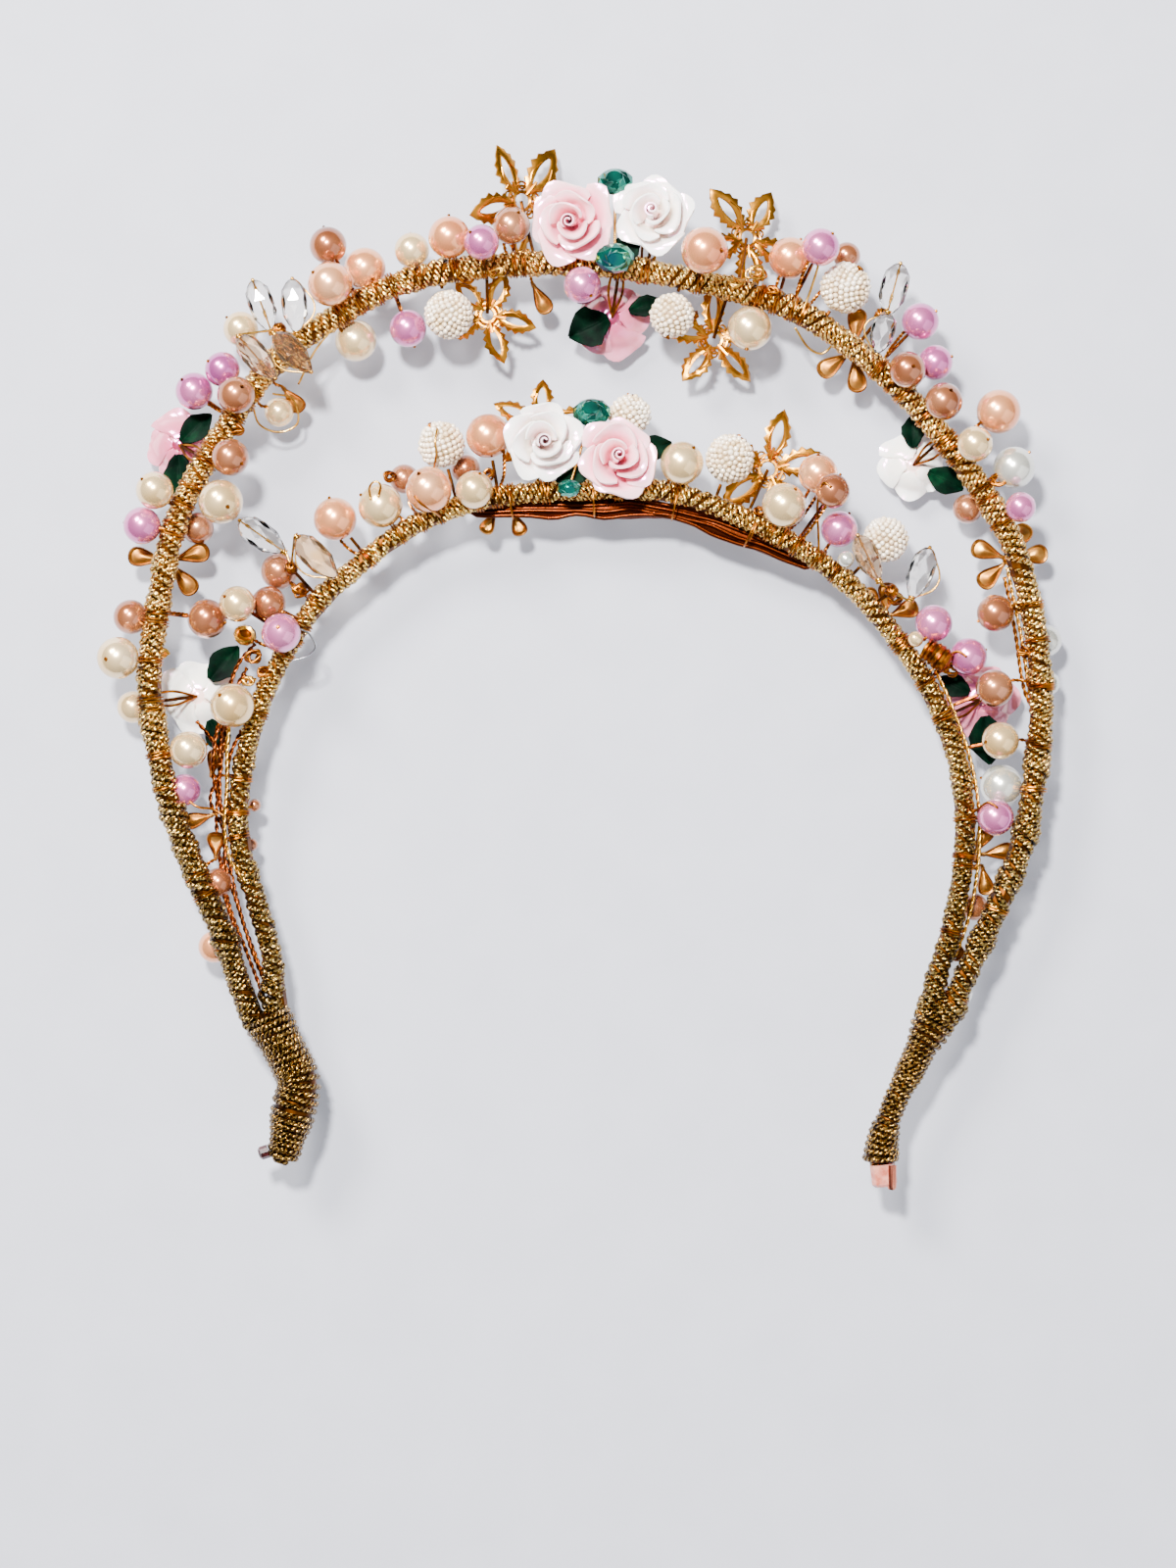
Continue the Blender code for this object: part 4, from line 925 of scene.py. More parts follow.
def wind_arch(name, line, radius, lumps, highest):
    """Wind one arch with strands that swell at its lumps."""
    lengths = lengths_along(line)
    spots, heights = lumps_along(lengths[-1], LUMP_SPACING, SEEDS[name], highest)
    marked = [lengths[np.argmin(np.hypot(line[:, 0] - x, line[:, 1] - y))] for x, y, _ in lumps]
    heights = np.append(heights, [height for _, _, height in lumps])
    core = lumpy(radius - ARCH_SINK, np.append(spots, marked), heights)
    shape = Shape()
    wind(shape, line, core, ARCH_STRAND, ARCH_STRANDS, ARCH_PITCH, SEEDS[name], ARCH_POINTS, "cord",
         ARCH_SIDES)
    make_piece(name + "_band_winding", shape)


def wind_end(name, table):
    """Wind one thick end round a core."""
    middle = np.array([(x, y, BAND_Z) for x, y, _ in table])
    path = curve_through(middle, 0.5)
    along = unit(path[-1] - path[-3])
    lead = unit(path[2] - path[0])
    path = np.vstack([path[:1] - lead * END_LEAD, path, path[-1:] + along * END_TAIL])
    lengths = lengths_along(path)
    known_at = lengths_along(middle) + END_LEAD
    known = [radius for _, _, radius in table]
    seed = SEEDS[name]

    def core(at):
        swell = np.interp(at, known_at, known) - END_SINK
        swell = swell + 0.3 * smooth_noise(at, 4.0, seed + 3)
        closing = np.clip((lengths[-1] - at) / END_CLOSES, 0.0, 1.0) ** 0.5
        opening = np.clip(at / END_OPENS, 0.0, 1.0) ** 0.5
        return np.maximum(swell * closing * (0.40 + 0.60 * opening), END_LEAST)
    shape = Shape()
    wind(shape, path, core, END_STRAND, 1, END_PITCH, seed, END_POINTS, "end cord", END_SIDES)
    # The core under the cord is near black: painted shade in the gaps between the turns.
    add_tube(shape, path, core(lengths) * END_CORE, "core", 16)
    make_piece(name + "_binding_winding", shape, (name + "_binding",))


def make_bands():
    for name, arch in ARCHES.items():
        wind_arch(name, *arch)
    wind_end("left_end", LEFT_END)
    wind_end("right_end", RIGHT_END)


# Pearls

# The wires that carry pearls and small pieces: radius, and distance of each from the middle of the twist.
STEM_WIRE = 0.22
STEM_APART = 0.2
# A stem shorter than this stays bare.
STEM_LEAST = 1.2
# The wire of the coils that tie stems to the bands.
TIE_WIRE = 0.2
# The wire's end in a pearl's far hole: height and radius.
WIRE_TIP = [(-0.6, 0.32), (0.05, 0.34), (0.3, 0.22)]
# Edges up to these angles in degrees stay smooth on pearls and drops, on metal and on petals.
SMOOTH_ANGLE = 40
SHARP_METAL = 45
SHARP_PETALS = 50


def add_pearl(shape, centre, radius, axis, finish, sides=24, rings=14):
    """Add a pearl with a drilled hole at each end of its axis."""
    hole = 0.085 * radius + 0.1
    start = math.asin(hole / radius)
    angles = np.linspace(start, math.pi - start, rings)
    inside = hole * 0.8
    depth = radius * 0.25
    profile = [(-radius * math.cos(a), radius * math.sin(a)) for a in angles]
    profile = [(-radius + depth, inside)] + profile + [(radius - depth, inside)]
    add_turned(shape, centre, axis, profile, sides, finish)


def pearl_axis(centre, seed):
    """Return the direction of a pearl's wire: away from its band, turned a little."""
    away = unit(np.asarray(centre) - nearest_band(centre)[0] + 1e-6)
    return unit(away + np.random.default_rng(seed).uniform(-0.5, 0.5, 3))


def add_pearl_wire(shape, centre, radius, axis, seed):
    """Let the wire show at a pearl's far hole, bring it out of the near one and tie it to the band."""
    centre = np.asarray(centre, float)
    add_turned(shape, centre + axis * (radius + 0.1), axis, WIRE_TIP, 8, "wire")
    low = centre - axis * (radius - 0.2)
    point, along, band_radius = nearest_band(centre)
    foot = point + unit(low - point) * band_radius * 0.8
    if np.linalg.norm(foot - low) > STEM_LEAST:
        middle = (low + foot) / 2 - axis * min(1.2, radius * 0.3)
        add_twist(shape, [low, low - axis * 0.6, middle, foot], STEM_WIRE, STEM_APART, 1.8)
    add_coil(shape, point, along, band_radius + 0.55, TIE_WIRE, 2.2, 0.6, seed)


def small_pearl_centre(vine, x, y, radius):
    """Find a small pearl's level: the one at which its sphere meets the most points of the vine's solid."""
    spots = np.array([v.co for v in nodes[vine].data.vertices]) / MM
    near = spots[np.hypot(spots[:, 0] - x, spots[:, 1] - y) < radius + SETTLE_REACH]
    best, most = BAND_Z, -1
    for k in range(-SETTLE_COUNT, SETTLE_COUNT):
        level = BAND_Z + k * SETTLE_STEP
        reach = np.linalg.norm(near - np.array((x, y, level)), axis=1)
        hits = int((np.abs(reach - radius) < SETTLE_NEAR).sum())
        if hits > most:
            best, most = level, hits
    return np.array((x, y, best))


def centre_of(node):
    """Return a node's middle and half its width in millimetres."""
    low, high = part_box(node)
    return np.array((low + high) / 2) / MM, (high - low)[0] / 2 / MM


def make_pearls():
    """Make every pearl that the part has, with its wire."""
    for seed, (node, colour) in enumerate(LARGE_PEARLS, SEEDS["large pearl"]):
        centre, radius = centre_of(node)
        axis = pearl_axis(centre, seed)
        shape = Shape()
        add_pearl(shape, centre, radius, axis, colour, 32, 18)
        add_pearl_wire(shape, centre, radius, axis, seed)
        make_piece(node + "_bead", shape, (node,), SMOOTH_ANGLE)
    for vine in SMALL_PEARLS:
        shape = Shape()
        for number, (x, y, diameter, colour) in numbered(SMALL_PEARLS, vine):
            seed = SEEDS["small pearl"] + number
            centre = small_pearl_centre(vine, x, y, diameter / 2)
            axis = pearl_axis(centre, seed)
            add_pearl(shape, centre, diameter / 2 + 0.04, axis, colour)
            add_pearl_wire(shape, centre, diameter / 2, axis, seed)
        make_piece(vine + "_pearls", shape, (), SMOOTH_ANGLE)


# Balls of seed beads

# Radius of a bead, the distance between rows and between beads as shares of it, and how unevenly the beads
# stand out of the ball.
BEAD = 0.64
ROW_STEP = 1.86
BEAD_STEP = 1.9
BEAD_SHIFT = 0.16


def add_ball_of_beads(shape, centre, radius, seed):
    """Wind strings of seed beads in rows over a ball."""
    draw = np.random.default_rng(seed)
    axis = unit(draw.uniform(-1, 1, 3) * np.array((1.0, 1.0, 0.4)))
    side = unit(np.cross(axis, UP))
    third = np.cross(axis, side)
    reach = radius - BEAD * 0.75
    rows = max(6, round(math.pi * reach / (BEAD * ROW_STEP)))
    base, faces = small_sphere(7, 5)
    tilts = np.linspace(0.05, math.pi - 0.05, 12)
    profile = [(-reach * math.cos(a), reach * 0.96 * math.sin(a)) for a in tilts]
    add_turned(shape, centre, axis, profile, 20, "thread")
    for row in range(rows):
        tilt = math.pi * (row + 0.5) / rows
        ring = reach * math.sin(tilt)
        count = max(3, round(TAU * ring / (BEAD * BEAD_STEP)))
        start = draw.uniform(0, TAU)
        for k in range(count):
            spin = start + TAU * k / count
            out = math.cos(tilt) * axis + math.sin(tilt) * (math.cos(spin) * side + math.sin(spin) * third)
            size = BEAD * draw.uniform(0.84, 1.06)
            spot = centre + out * (reach + draw.uniform(-BEAD_SHIFT, BEAD_SHIFT))
            shape.add(base * size + spot, faces, "seed")


def small_sphere(sides, rings):
    """Return the points and faces of a low sphere."""
    points = [(0.0, 0.0, -1.0)]
    for r in range(1, rings):
        tilt = math.pi * r / rings
        wide = math.sin(tilt)
        for k in range(sides):
            turn = TAU * (k + 0.5 * (r % 2)) / sides
            points.append((wide * math.cos(turn), wide * math.sin(turn), -math.cos(tilt)))
    points.append((0.0, 0.0, 1.0))
    top = len(points) - 1
    quads, tris = [], []
    for r in range(rings - 2):
        for k in range(sides):
            n = (k + 1) % sides
            a = 1 + r * sides
            quads.append((a + k, a + n, a + sides + n, a + sides + k))
    for k in range(sides):
        n = (k + 1) % sides
        tris.append((0, 1 + n, 1 + k))
        tris.append((top, top - sides + k, top - sides + n))
    return np.array(points), (np.array(quads), np.array(tris))


def make_seed_balls():
    for i, node in enumerate(SEED_BALLS):
        centre, radius = centre_of(node)
        shape = Shape()
        add_ball_of_beads(shape, centre, radius, SEEDS["ball"] + i)
        seed = SEEDS["ball coil"] + i
        axis = pearl_axis(centre, seed)
        add_coil(shape, centre + axis * (radius - 0.4), axis, 0.7, 0.28, 2.0, 0.5, seed)
        make_piece(node + "_beads", shape, (node,))


# Roses and leaves

# A rose's layers from the outside in: petals, half width in degrees, then root, rim, low edge, high edge,
# curl and overlap as shares of the rose's size, and the thickness.
ROSE_LAYERS = [
    (5, 46.0, 0.10, 0.430, 0.00, 0.56, 0.090, 0.050, 0.85),
    (3, 66.0, 0.09, 0.300, 0.10, 0.80, 0.070, 0.060, 0.80),
    (2, 88.0, 0.06, 0.185, 0.22, 0.95, 0.040, 0.050, 0.75),
]
# Degrees from one layer's first petal to the next layer's.
LAYER_TURN = 37.0
# A petal is a grid of this many rows and columns of points.
PETAL_ROWS = 10
PETAL_COLUMNS = 13
# The rolled bud: turns, columns, the tones of its rows and its thickness.
BUD_TURNS = 1.6
BUD_COLUMNS = 26
BUD_TONES = np.linspace(0.2, 0.8, 5)
BUD_THICKNESS = 0.6
# The cup under the petals: height as a share of the rose's height, radius as a share of its diameter.
ROSE_CUP = [(0.0, 0.10), (0.10, 0.17), (0.26, 0.12)]
ROSE_CUP_TOP = (0.34, 0.3)
# How much thinner a sheet is at its root, its rim and its two sides.
SHEET_ROOT = 0.75
SHEET_RIM = 0.55
SHEET_SIDE = 0.5


def lean_frame(lean):
    """Return a rotation that leans a shape about X and Y, in degrees."""
    a, b = (math.radians(v) for v in lean)
    about_x = np.array(((1, 0, 0), (0, math.cos(a), -math.sin(a)), (0, math.sin(a), math.cos(a))))
    about_y = np.array(((math.cos(b), 0, math.sin(b)), (0, 1, 0), (-math.sin(b), 0, math.cos(b))))
    return about_y @ about_x


def add_sheet(shape, grid, thickness, finish, tones):
    """Give a grid of points (rows x columns x 3) a thickness and rounded edges; each row has a tone."""
    normal = unit(np.cross(np.gradient(grid, axis=1), np.gradient(grid, axis=0)))
    rows, columns = grid.shape[:2]
    edge = np.ones((rows, columns))
    edge[0, :] *= SHEET_ROOT
    edge[-1, :] *= SHEET_RIM
    edge[:, 0] *= SHEET_SIDE
    edge[:, -1] *= SHEET_SIDE
    half = thickness / 2 * edge[..., None]
    index = np.arange(rows * columns).reshape(rows, columns)
    corners = (index[:-1, :-1], index[:-1, 1:], index[1:, 1:], index[1:, :-1])
    quads = np.stack(corners, axis=-1).reshape(-1, 4)
    total = rows * columns
    rim = np.concatenate([index[0, :-1], index[:-1, -1], index[-1, :0:-1], index[:0:-1, 0]])
    after = np.roll(rim, -1)
    sides = np.stack([rim, rim + total, after + total, after], axis=-1)
    points = np.vstack([(grid + normal * half).reshape(-1, 3), (grid - normal * half).reshape(-1, 3)])
    blocks = [quads, quads[:, ::-1] + total, sides]
    tones = np.repeat(tones, columns)
    tones = np.concatenate([0.5 + 0.5 * tones, tones])
    places = [np.stack([np.zeros(block.shape), tones[block]], axis=-1) for block in blocks]
    shape.add(points, blocks, finish, places)


def petal_grid(turn, half, root, rim, low, high, curl, overlap, seed):
    """Return one petal of a rose: a bowl-shaped patch round the rose's axis with a curled, wavy rim."""
    draw = np.random.default_rng(seed)
    u = np.linspace(-1.0, 1.0, PETAL_COLUMNS)[None, :]
    v = np.linspace(0.0, 1.0, PETAL_ROWS)[:, None]
    phase = draw.uniform(0, TAU)
    dip = draw.uniform(0.10, 0.24)
    peak = draw.uniform(-0.05, 0.13)
    peak_at = draw.uniform(-0.35, 0.35)
    reach = v * (1 - dip * np.abs(u) ** 3 + peak * np.exp(-((u - peak_at) / 0.22) ** 2))
    spread = half * (0.58 + 0.42 * np.sin(np.minimum(v, 0.8) / 0.8 * math.pi / 2))
    angle = turn + u * spread
    bowl = np.sin(reach * math.pi / 2 * 0.92)
    radius = root + (rim - root) * bowl
    height = low + (high - low) * (1 - np.cos(reach * math.pi / 2)) ** 0.85
    over = np.clip((reach - 0.62) / 0.38, 0.0, 1.0) ** 2
    ripple = 1 + 0.5 * np.sin(u * 4.0 + phase)
    radius = radius + curl * over * ripple + overlap * u * v
    height = height - curl * 0.9 * over * ripple
    return np.stack([radius * np.cos(angle), radius * np.sin(angle), height], axis=-1)


def add_rose(shape, origin, diameter, side, finish, turn, lean, seed):
    """Add a rose of overlapping petals round a rolled bud."""
    height = diameter * ROSE_HEIGHT
    matrix = lean_frame(lean)
    draw = np.random.default_rng(seed)

    def settle(grid):
        """Place a grid; on a rose that faces down its columns change ends, to keep the faces outward."""
        placed = (grid * np.array((1.0, 1.0, side))) @ matrix.T + origin
        return placed[:, ::-1] if side < 0 else placed
    for number, (count, half, root, rim, low, high, curl, overlap, thickness) in enumerate(ROSE_LAYERS):
        for k in range(count):
            at = math.radians(turn + 360.0 * k / count + LAYER_TURN * number + draw.uniform(-7, 7))
            grow = draw.uniform(0.88, 1.06)
            grid = petal_grid(at, math.radians(half), root * diameter, rim * diameter * grow, low * height,
                              high * height * draw.uniform(0.88, 1.0), curl * diameter, overlap * diameter,
                              seed * 50 + number * 7 + k)
            add_sheet(shape, settle(grid), thickness, finish, np.linspace(0.0, 1.0, PETAL_ROWS))
    spiral = np.linspace(0.0, 1.0, BUD_COLUMNS)
    spin = spiral * TAU * BUD_TURNS + math.radians(turn)
    rolled = diameter * (0.020 + 0.075 * spiral)
    rows = []
    for v in np.linspace(0.0, 1.0, len(BUD_TONES)):
        level = height * (0.35 + 0.62 * v - 0.05 * spiral)
        rows.append(np.stack([rolled * np.cos(spin), rolled * np.sin(spin), level], axis=1))
    bud = "blush" if finish == "white" else finish
    add_sheet(shape, settle(np.array(rows)), BUD_THICKNESS, bud, BUD_TONES)
    cup = [(height * rise, diameter * reach) for rise, reach in ROSE_CUP]
    cup.append((height * ROSE_CUP_TOP[0], ROSE_CUP_TOP[1]))
    add_turned(shape, origin, matrix @ np.array((0.0, 0.0, side)), cup, 16, finish)


# A leaf's half width along it, as shares: where, how wide.
LEAF_AT = (0.0, 0.12, 0.38, 0.62, 0.85, 1.0)
LEAF_WIDE = (0.22, 0.55, 1.0, 0.95, 0.45, 0.04)
LEAF_ROWS = 9
LEAF_THICKNESS = 0.75


def add_leaf(shape, root, tip, width, seed):
    """Add a folded leaf with an angular outline."""
    along = unit(tip - root)
    side = unit(np.cross(UP, along))
    top = np.cross(along, side)
    length = np.linalg.norm(tip - root)
    draw = np.random.default_rng(seed)
    shares = np.linspace(0.0, 1.0, LEAF_ROWS)
    outline = np.interp(shares, LEAF_AT, LEAF_WIDE) * (1 + draw.uniform(-0.06, 0.06, LEAF_ROWS))
    across = np.linspace(-1.0, 1.0, 9)
    fold = 0.16 * width * np.abs(across)
    bend = draw.uniform(0.4, 1.0)
    rows = []
    for share, half in zip(shares, outline):
        lift = bend * math.sin(share * math.pi) * 0.9
        beside = side[None] * (across * half * width / 2)[:, None]
        rows.append(root + along * length * share + beside + top[None] * (fold + lift)[:, None])
    grid = np.array(rows)
    add_sheet(shape, grid, LEAF_THICKNESS, "leaf", shares)
    rib = grid[:, 4] + top * LEAF_THICKNESS * 0.42
    add_tube(shape, rib[:-1], np.linspace(0.26, 0.1, LEAF_ROWS - 1), "leaf", 5)


# How far a leaf lies above the foot of a rose that faces up, and of one that faces down.
LEAF_LEVELS = {1: 0.6, -1: 0.5}


def make_roses():
    """Make each rose with its leaves and the wires that tie it down."""
    for i, (name, x, y, diameter, side, colour, turn, lean) in enumerate(ROSES):
        foot = np.array((x, y, ROSE_BACK_Z if side > 0 else diameter * ROSE_HEIGHT))
        shape = Shape()
        add_rose(shape, foot, diameter, side, colour, turn, lean, i + 1)
        for number, (leaf_x, leaf_y, length, width) in numbered(LEAVES, name):
            out = np.array((leaf_x - x, leaf_y - y, 0.0))
            reach = np.linalg.norm(out) + length / 2
            out = unit(out)
            level = foot + UP * LEAF_LEVELS[side]
            add_leaf(shape, level + out * max(0.8, reach - length), level - UP + out * reach, width,
                     SEEDS["leaf"] + number)
        point, along, band_radius = nearest_band((x, y, BAND_Z))
        for bow in (-0.5, 0.5):
            middle = (foot + point) / 2 + along * bow * 3 + UP * 0.5
            add_wire(shape, [foot, middle, point + along * bow * 2], 0.3)
        add_coil(shape, point, along, band_radius + 0.6, 0.22, 2.8, 0.7, SEEDS["rose coil"] + i)
        make_piece(name + "_petals", shape, (name,), SHARP_PETALS)


# Filigree

# Half outlines of a petal and of its slot: how far out, how wide, as shares of the petal's length.
PETAL_OUTLINE = [
    (0.16, 0.055), (0.24, 0.100), (0.32, 0.190), (0.37, 0.150), (0.45, 0.235), (0.52, 0.185), (0.60, 0.255),
    (0.67, 0.190), (0.75, 0.205), (0.80, 0.135), (0.87, 0.115), (0.93, 0.060), (1.00, 0.0),
]
PETAL_SLOT = [
    (0.30, 0.018), (0.34, 0.045), (0.40, 0.068), (0.44, 0.080), (0.50, 0.092), (0.54, 0.098), (0.60, 0.095),
    (0.64, 0.085), (0.69, 0.072), (0.73, 0.056), (0.76, 0.038), (0.79, 0.018), (0.80, 0.0),
]
PETALS = 5
PETAL_STEP = 360.0 / PETALS
# The rings of a petal's edge, from the outer underside over the top into the slot: shares of the outline, of
# the line between outline and slot and of the slot, and height.
PETAL_EDGE = [
    (1.0, 0.0, 0.0, -0.28), (0.97, 0.03, 0.0, 0.12), (0.0, 1.0, 0.0, 0.42), (0.0, 0.1, 0.9, 0.14),
    (0.0, 0.0, 1.0, -0.26),
]
VEIN_OUT = (0.30, 0.66)
VEIN_BESIDE = np.array((0.08, 0.115, 0.14, 0.148, 0.14, 0.12, 0.10))
# The wire rings of the middle: radius as a share of the length, and wire. Then the small rings round them.
HUB_RINGS = ((0.145, 0.42), (0.235, 0.30))
SMALL_RING = 0.058
SMALL_RING_AT = 0.245
SMALL_RING_WIRE = 0.24


def both_sides(half):
    """Mirror a half outline into a whole one."""
    return np.array(half + [(out, -wide) for out, wide in reversed(half[:-1])])


def add_filigree(shape, origin, length, turn, lean, seed):
    """Add a stamped flower: five serrated petals, each with a slot, round a pierced middle."""
    matrix = lean_frame((0.0, lean))
    draw = np.random.default_rng(seed)
    outer = both_sides(PETAL_OUTLINE)
    slot = both_sides(PETAL_SLOT)
    for k in range(PETALS):
        angle = math.radians(turn + PETAL_STEP * k + draw.uniform(-5.0, 5.0))
        cup = draw.uniform(0.6, 1.8)
        roll = draw.uniform(-0.45, 0.45)
        grow = draw.uniform(0.90, 1.04)
        bend = draw.uniform(-0.10, 0.10)

        def place(flat, rise):
            """Bend points of the flat petal into their place on the flower."""
            dome = cup * np.sin(np.clip(flat[:, 0], 0, 1) * math.pi * 0.9)
            dome = dome - 0.4 * (np.abs(flat[:, 1]) / 0.27) ** 2
            out = flat[:, 0] * length * grow
            beside = (flat[:, 1] * math.cos(roll) + bend * flat[:, 0] ** 2) * length
            x = out * math.cos(angle) - beside * math.sin(angle)
            y = out * math.sin(angle) + beside * math.cos(angle)
            z = dome + rise + flat[:, 1] * length * math.sin(roll)
            return np.stack([x, y, z], axis=1) @ matrix.T + origin
        inner_edge = slot * np.array((1.0, draw.uniform(0.65, 0.95)))
        middle = outer * 0.55 + inner_edge * 0.45
        rings = [place(outer * a + middle * b + inner_edge * c, rise) for a, b, c, rise in PETAL_EDGE]
        rings_to_shape(shape, np.stack(rings, axis=1), "brass", closed=True)
        spine = np.stack([np.linspace(0.12, 0.36, 6), np.zeros(6)], axis=1)
        add_tube(shape, place(spine, 0.25), 0.34, "brass", 6)
        for sign in (-1, 1):
            vein = np.stack([np.linspace(*VEIN_OUT, len(VEIN_BESIDE)), sign * VEIN_BESIDE], axis=1)
            add_tube(shape, place(vein, 0.36), 0.16, "brass", 5)
    hub = origin + matrix @ np.array((0.0, 0.0, 0.5))
    ring = np.array([(math.cos(t), math.sin(t), 0.0) for t in np.arange(20) * TAU / 20])
    for radius, wire in HUB_RINGS:
        add_tube(shape, (ring * length * radius) @ matrix.T + hub, wire, "brass", 6, True)
    for k in range(PETALS):
        spot = way(turn + PETAL_STEP * (k + 0.5)) * length * SMALL_RING_AT
        small = (ring[::2] * length * SMALL_RING + spot) @ matrix.T + hub
        add_tube(shape, small, SMALL_RING_WIRE, "brass", 5, True)


def make_flowers():
    for seed, (name, x, y, z, length, turn, lean) in enumerate(FLOWERS, SEEDS["flower"]):
        shape = Shape()
        add_filigree(shape, np.array((x, y, z)), length, turn, lean, seed)
        make_piece(name + "_filigree", shape, (name,), SHARP_METAL)


# Crystals, stones and drops

# Each profile's rings: how far along, and the radius as a share of half the width.
CRYSTAL_PROFILE = [
    (0.0, 0.20), (0.12, 0.52), (0.34, 0.88), (0.60, 1.0), (0.82, 0.84), (0.94, 0.54), (1.0, 0.30),
]
CRYSTAL_FACETS = 8
CRYSTAL_DEPTH = 0.72
CRYSTAL_WIRE = 0.2
STONE_PROFILE = [
    (-0.42, 0.18), (-0.30, 0.55), (-0.05, 0.96), (0.06, 1.0), (0.24, 0.78), (0.38, 0.50), (0.42, 0.40),
]
STONE_FACETS = 10
STONE_WIDE, STONE_DEEP = 1.12, 0.86
# Which way the two stones of a group face.
STONE_AXES = ((-0.1, 0.3, 1.0), (0.12, -0.25, 1.0))
STONE_COIL_AXIS = (0.2, 0.1, 1.0)


def facet_rings(origin, axis, side, profile, facets, length, half, wide, deep):
    """Return a profile's rings, each turned by half a facet against the one before."""
    third = np.cross(axis, side)
    rings = []
    for row, (share, part) in enumerate(profile):
        spin = (np.arange(facets) + 0.5 * (row % 2)) * TAU / facets
        rings.append(origin + axis * length * share + half * part * circle(spin, side, third, wide, deep))
    return np.array(rings)


def add_crystal(shape, start, along, length, width, finish):
    """Add a drop cut in rows of facets that are turned against each other."""
    along = unit(along)
    sides = CRYSTAL_FACETS
    rings = facet_rings(start, along, unit(np.cross(along, UP)), CRYSTAL_PROFILE, sides, length, width / 2,
                        1.0, CRYSTAL_DEPTH)
    index = np.arange(len(rings) * sides).reshape(len(rings), sides)
    first, last = len(rings) * sides, len(rings) * sides + 1
    tris = []
    for row, (a, b) in enumerate(zip(index[:-1], index[1:])):
        for k in range(sides):
            n = (k + 1) % sides
            if row % 2 == 0:
                tris += [(a[k], a[n], b[k]), (a[n], b[n], b[k])]
            else:
                tris += [(a[k], a[n], b[n]), (a[k], b[n], b[k])]
    for k in range(sides):
        n = (k + 1) % sides
        tris += [(index[0][n], index[0][k], first), (index[-1][k], index[-1][n], last)]
    shape.add(np.vstack([rings.reshape(-1, 3), rings[0].mean(0), rings[-1].mean(0)]), [tris], finish)


def wire_crystal(wires, hub, near, far, length, width, bowed, seed):
    """Carry a crystal on a wire from the hub, and run the wire along it to a bead at its far end."""
    out = unit(far - near)
    bow = np.cross(out, UP) * width * (0.62 if bowed else 0.0)
    add_wire(wires, [hub, near - out * 0.5 + UP * 0.3, near + out * 0.4], 0.26, "gold")
    run = [near + out * 0.2, near + out * length * 0.3 + bow, near + out * length * 0.62 + bow * 1.04]
    add_wire(wires, run + [far + out * 0.4], CRYSTAL_WIRE, "gold")
    add_turned(wires, far, out, [(-0.3, 0.3), (0.15, 0.46), (0.6, 0.3)], 8, "gold")
    add_coil(wires, near, out, 0.62, 0.22, 2.5, 0.5, seed, "gold")


def make_crystals():
    for i, (group, hub) in enumerate(CRYSTAL_HUBS.items()):
        glass, wires = Shape(), Shape()
        hub = np.array(hub)
        for number, (x, y, z, length, width, angle, finish) in numbered(CRYSTALS, group):
            along = way(angle)
            start = np.array((x, y, z)) - along * length / 2
            add_crystal(glass, start, along, length, width, finish)
            ends = sorted((start, start + along * length), key=lambda end: np.linalg.norm(end - hub))
            wire_crystal(wires, hub, *ends, length, width, number % 2, SEEDS["crystal coil"] + number)
        for k, turn in enumerate((10.0, 75.0, 140.0)):
            add_coil(wires, hub, way(turn, 25.0), 1.25, 0.3, 2.4, 0.55, SEEDS["crystal hub"] + k + i)
        make_piece(group + "_glass", glass, (group,), flat=True)
        make_piece(group + "_wires", wires)


def make_stones():
    """Make the green stones, two to a group, on a wire between them."""
    for group, rows in GREEN_STONES.items():
        shape, wires = Shape(), Shape()
        for (x, y, z, diameter), axis in zip(rows, STONE_AXES):
            axis = unit(axis)
            side = unit(np.cross(axis, np.array((0.0, 1.0, 0.0))))
            rings = facet_rings(np.array((x, y, z)), axis, side, STONE_PROFILE, STONE_FACETS, diameter,
                                diameter / 2, STONE_WIDE, STONE_DEEP)
            rings_to_shape(shape, rings, "green")
        a, b = (np.array(row[:3]) for row in rows)
        add_wire(wires, [a, (a + b) / 2 - UP * 0.8, b], 0.3, "gold")
        for seed, (x, y, z, diameter) in enumerate(rows, SEEDS["stone coil"]):
            low = np.array((x, y, z)) - UP * 1.6
            add_coil(wires, low, STONE_COIL_AXIS, diameter * 0.34, 0.3, 1.3, 0.4, seed, "gold")
        make_piece(group + "_cut", shape, (group,), flat=True)
        make_piece(group + "_wire", wires)


# The rings of a drop from its underside over the rim: share of the outline, share of the thickness.
DROP_RIM = [(0.86, -0.50), (1.0, -0.10), (1.0, 0.22), (0.90, 0.50), (0.80, 0.42), (0.72, 0.24)]
DROP_DOME = [(0.50, 0.44), (0.26, 0.60), (0.05, 0.66)]
DROP_HOLLOW = [(0.66, 0.10), (0.50, -0.15)]
DROP_POINTS = 28
# Where the drop is widest, as a share of its length, and how much of the width the rim takes up.
DROP_MIDDLE = 0.62
DROP_SPREAD = 1.30
# A drop petal's root lies this far from its flower's middle.
DROP_ROOT = 0.9


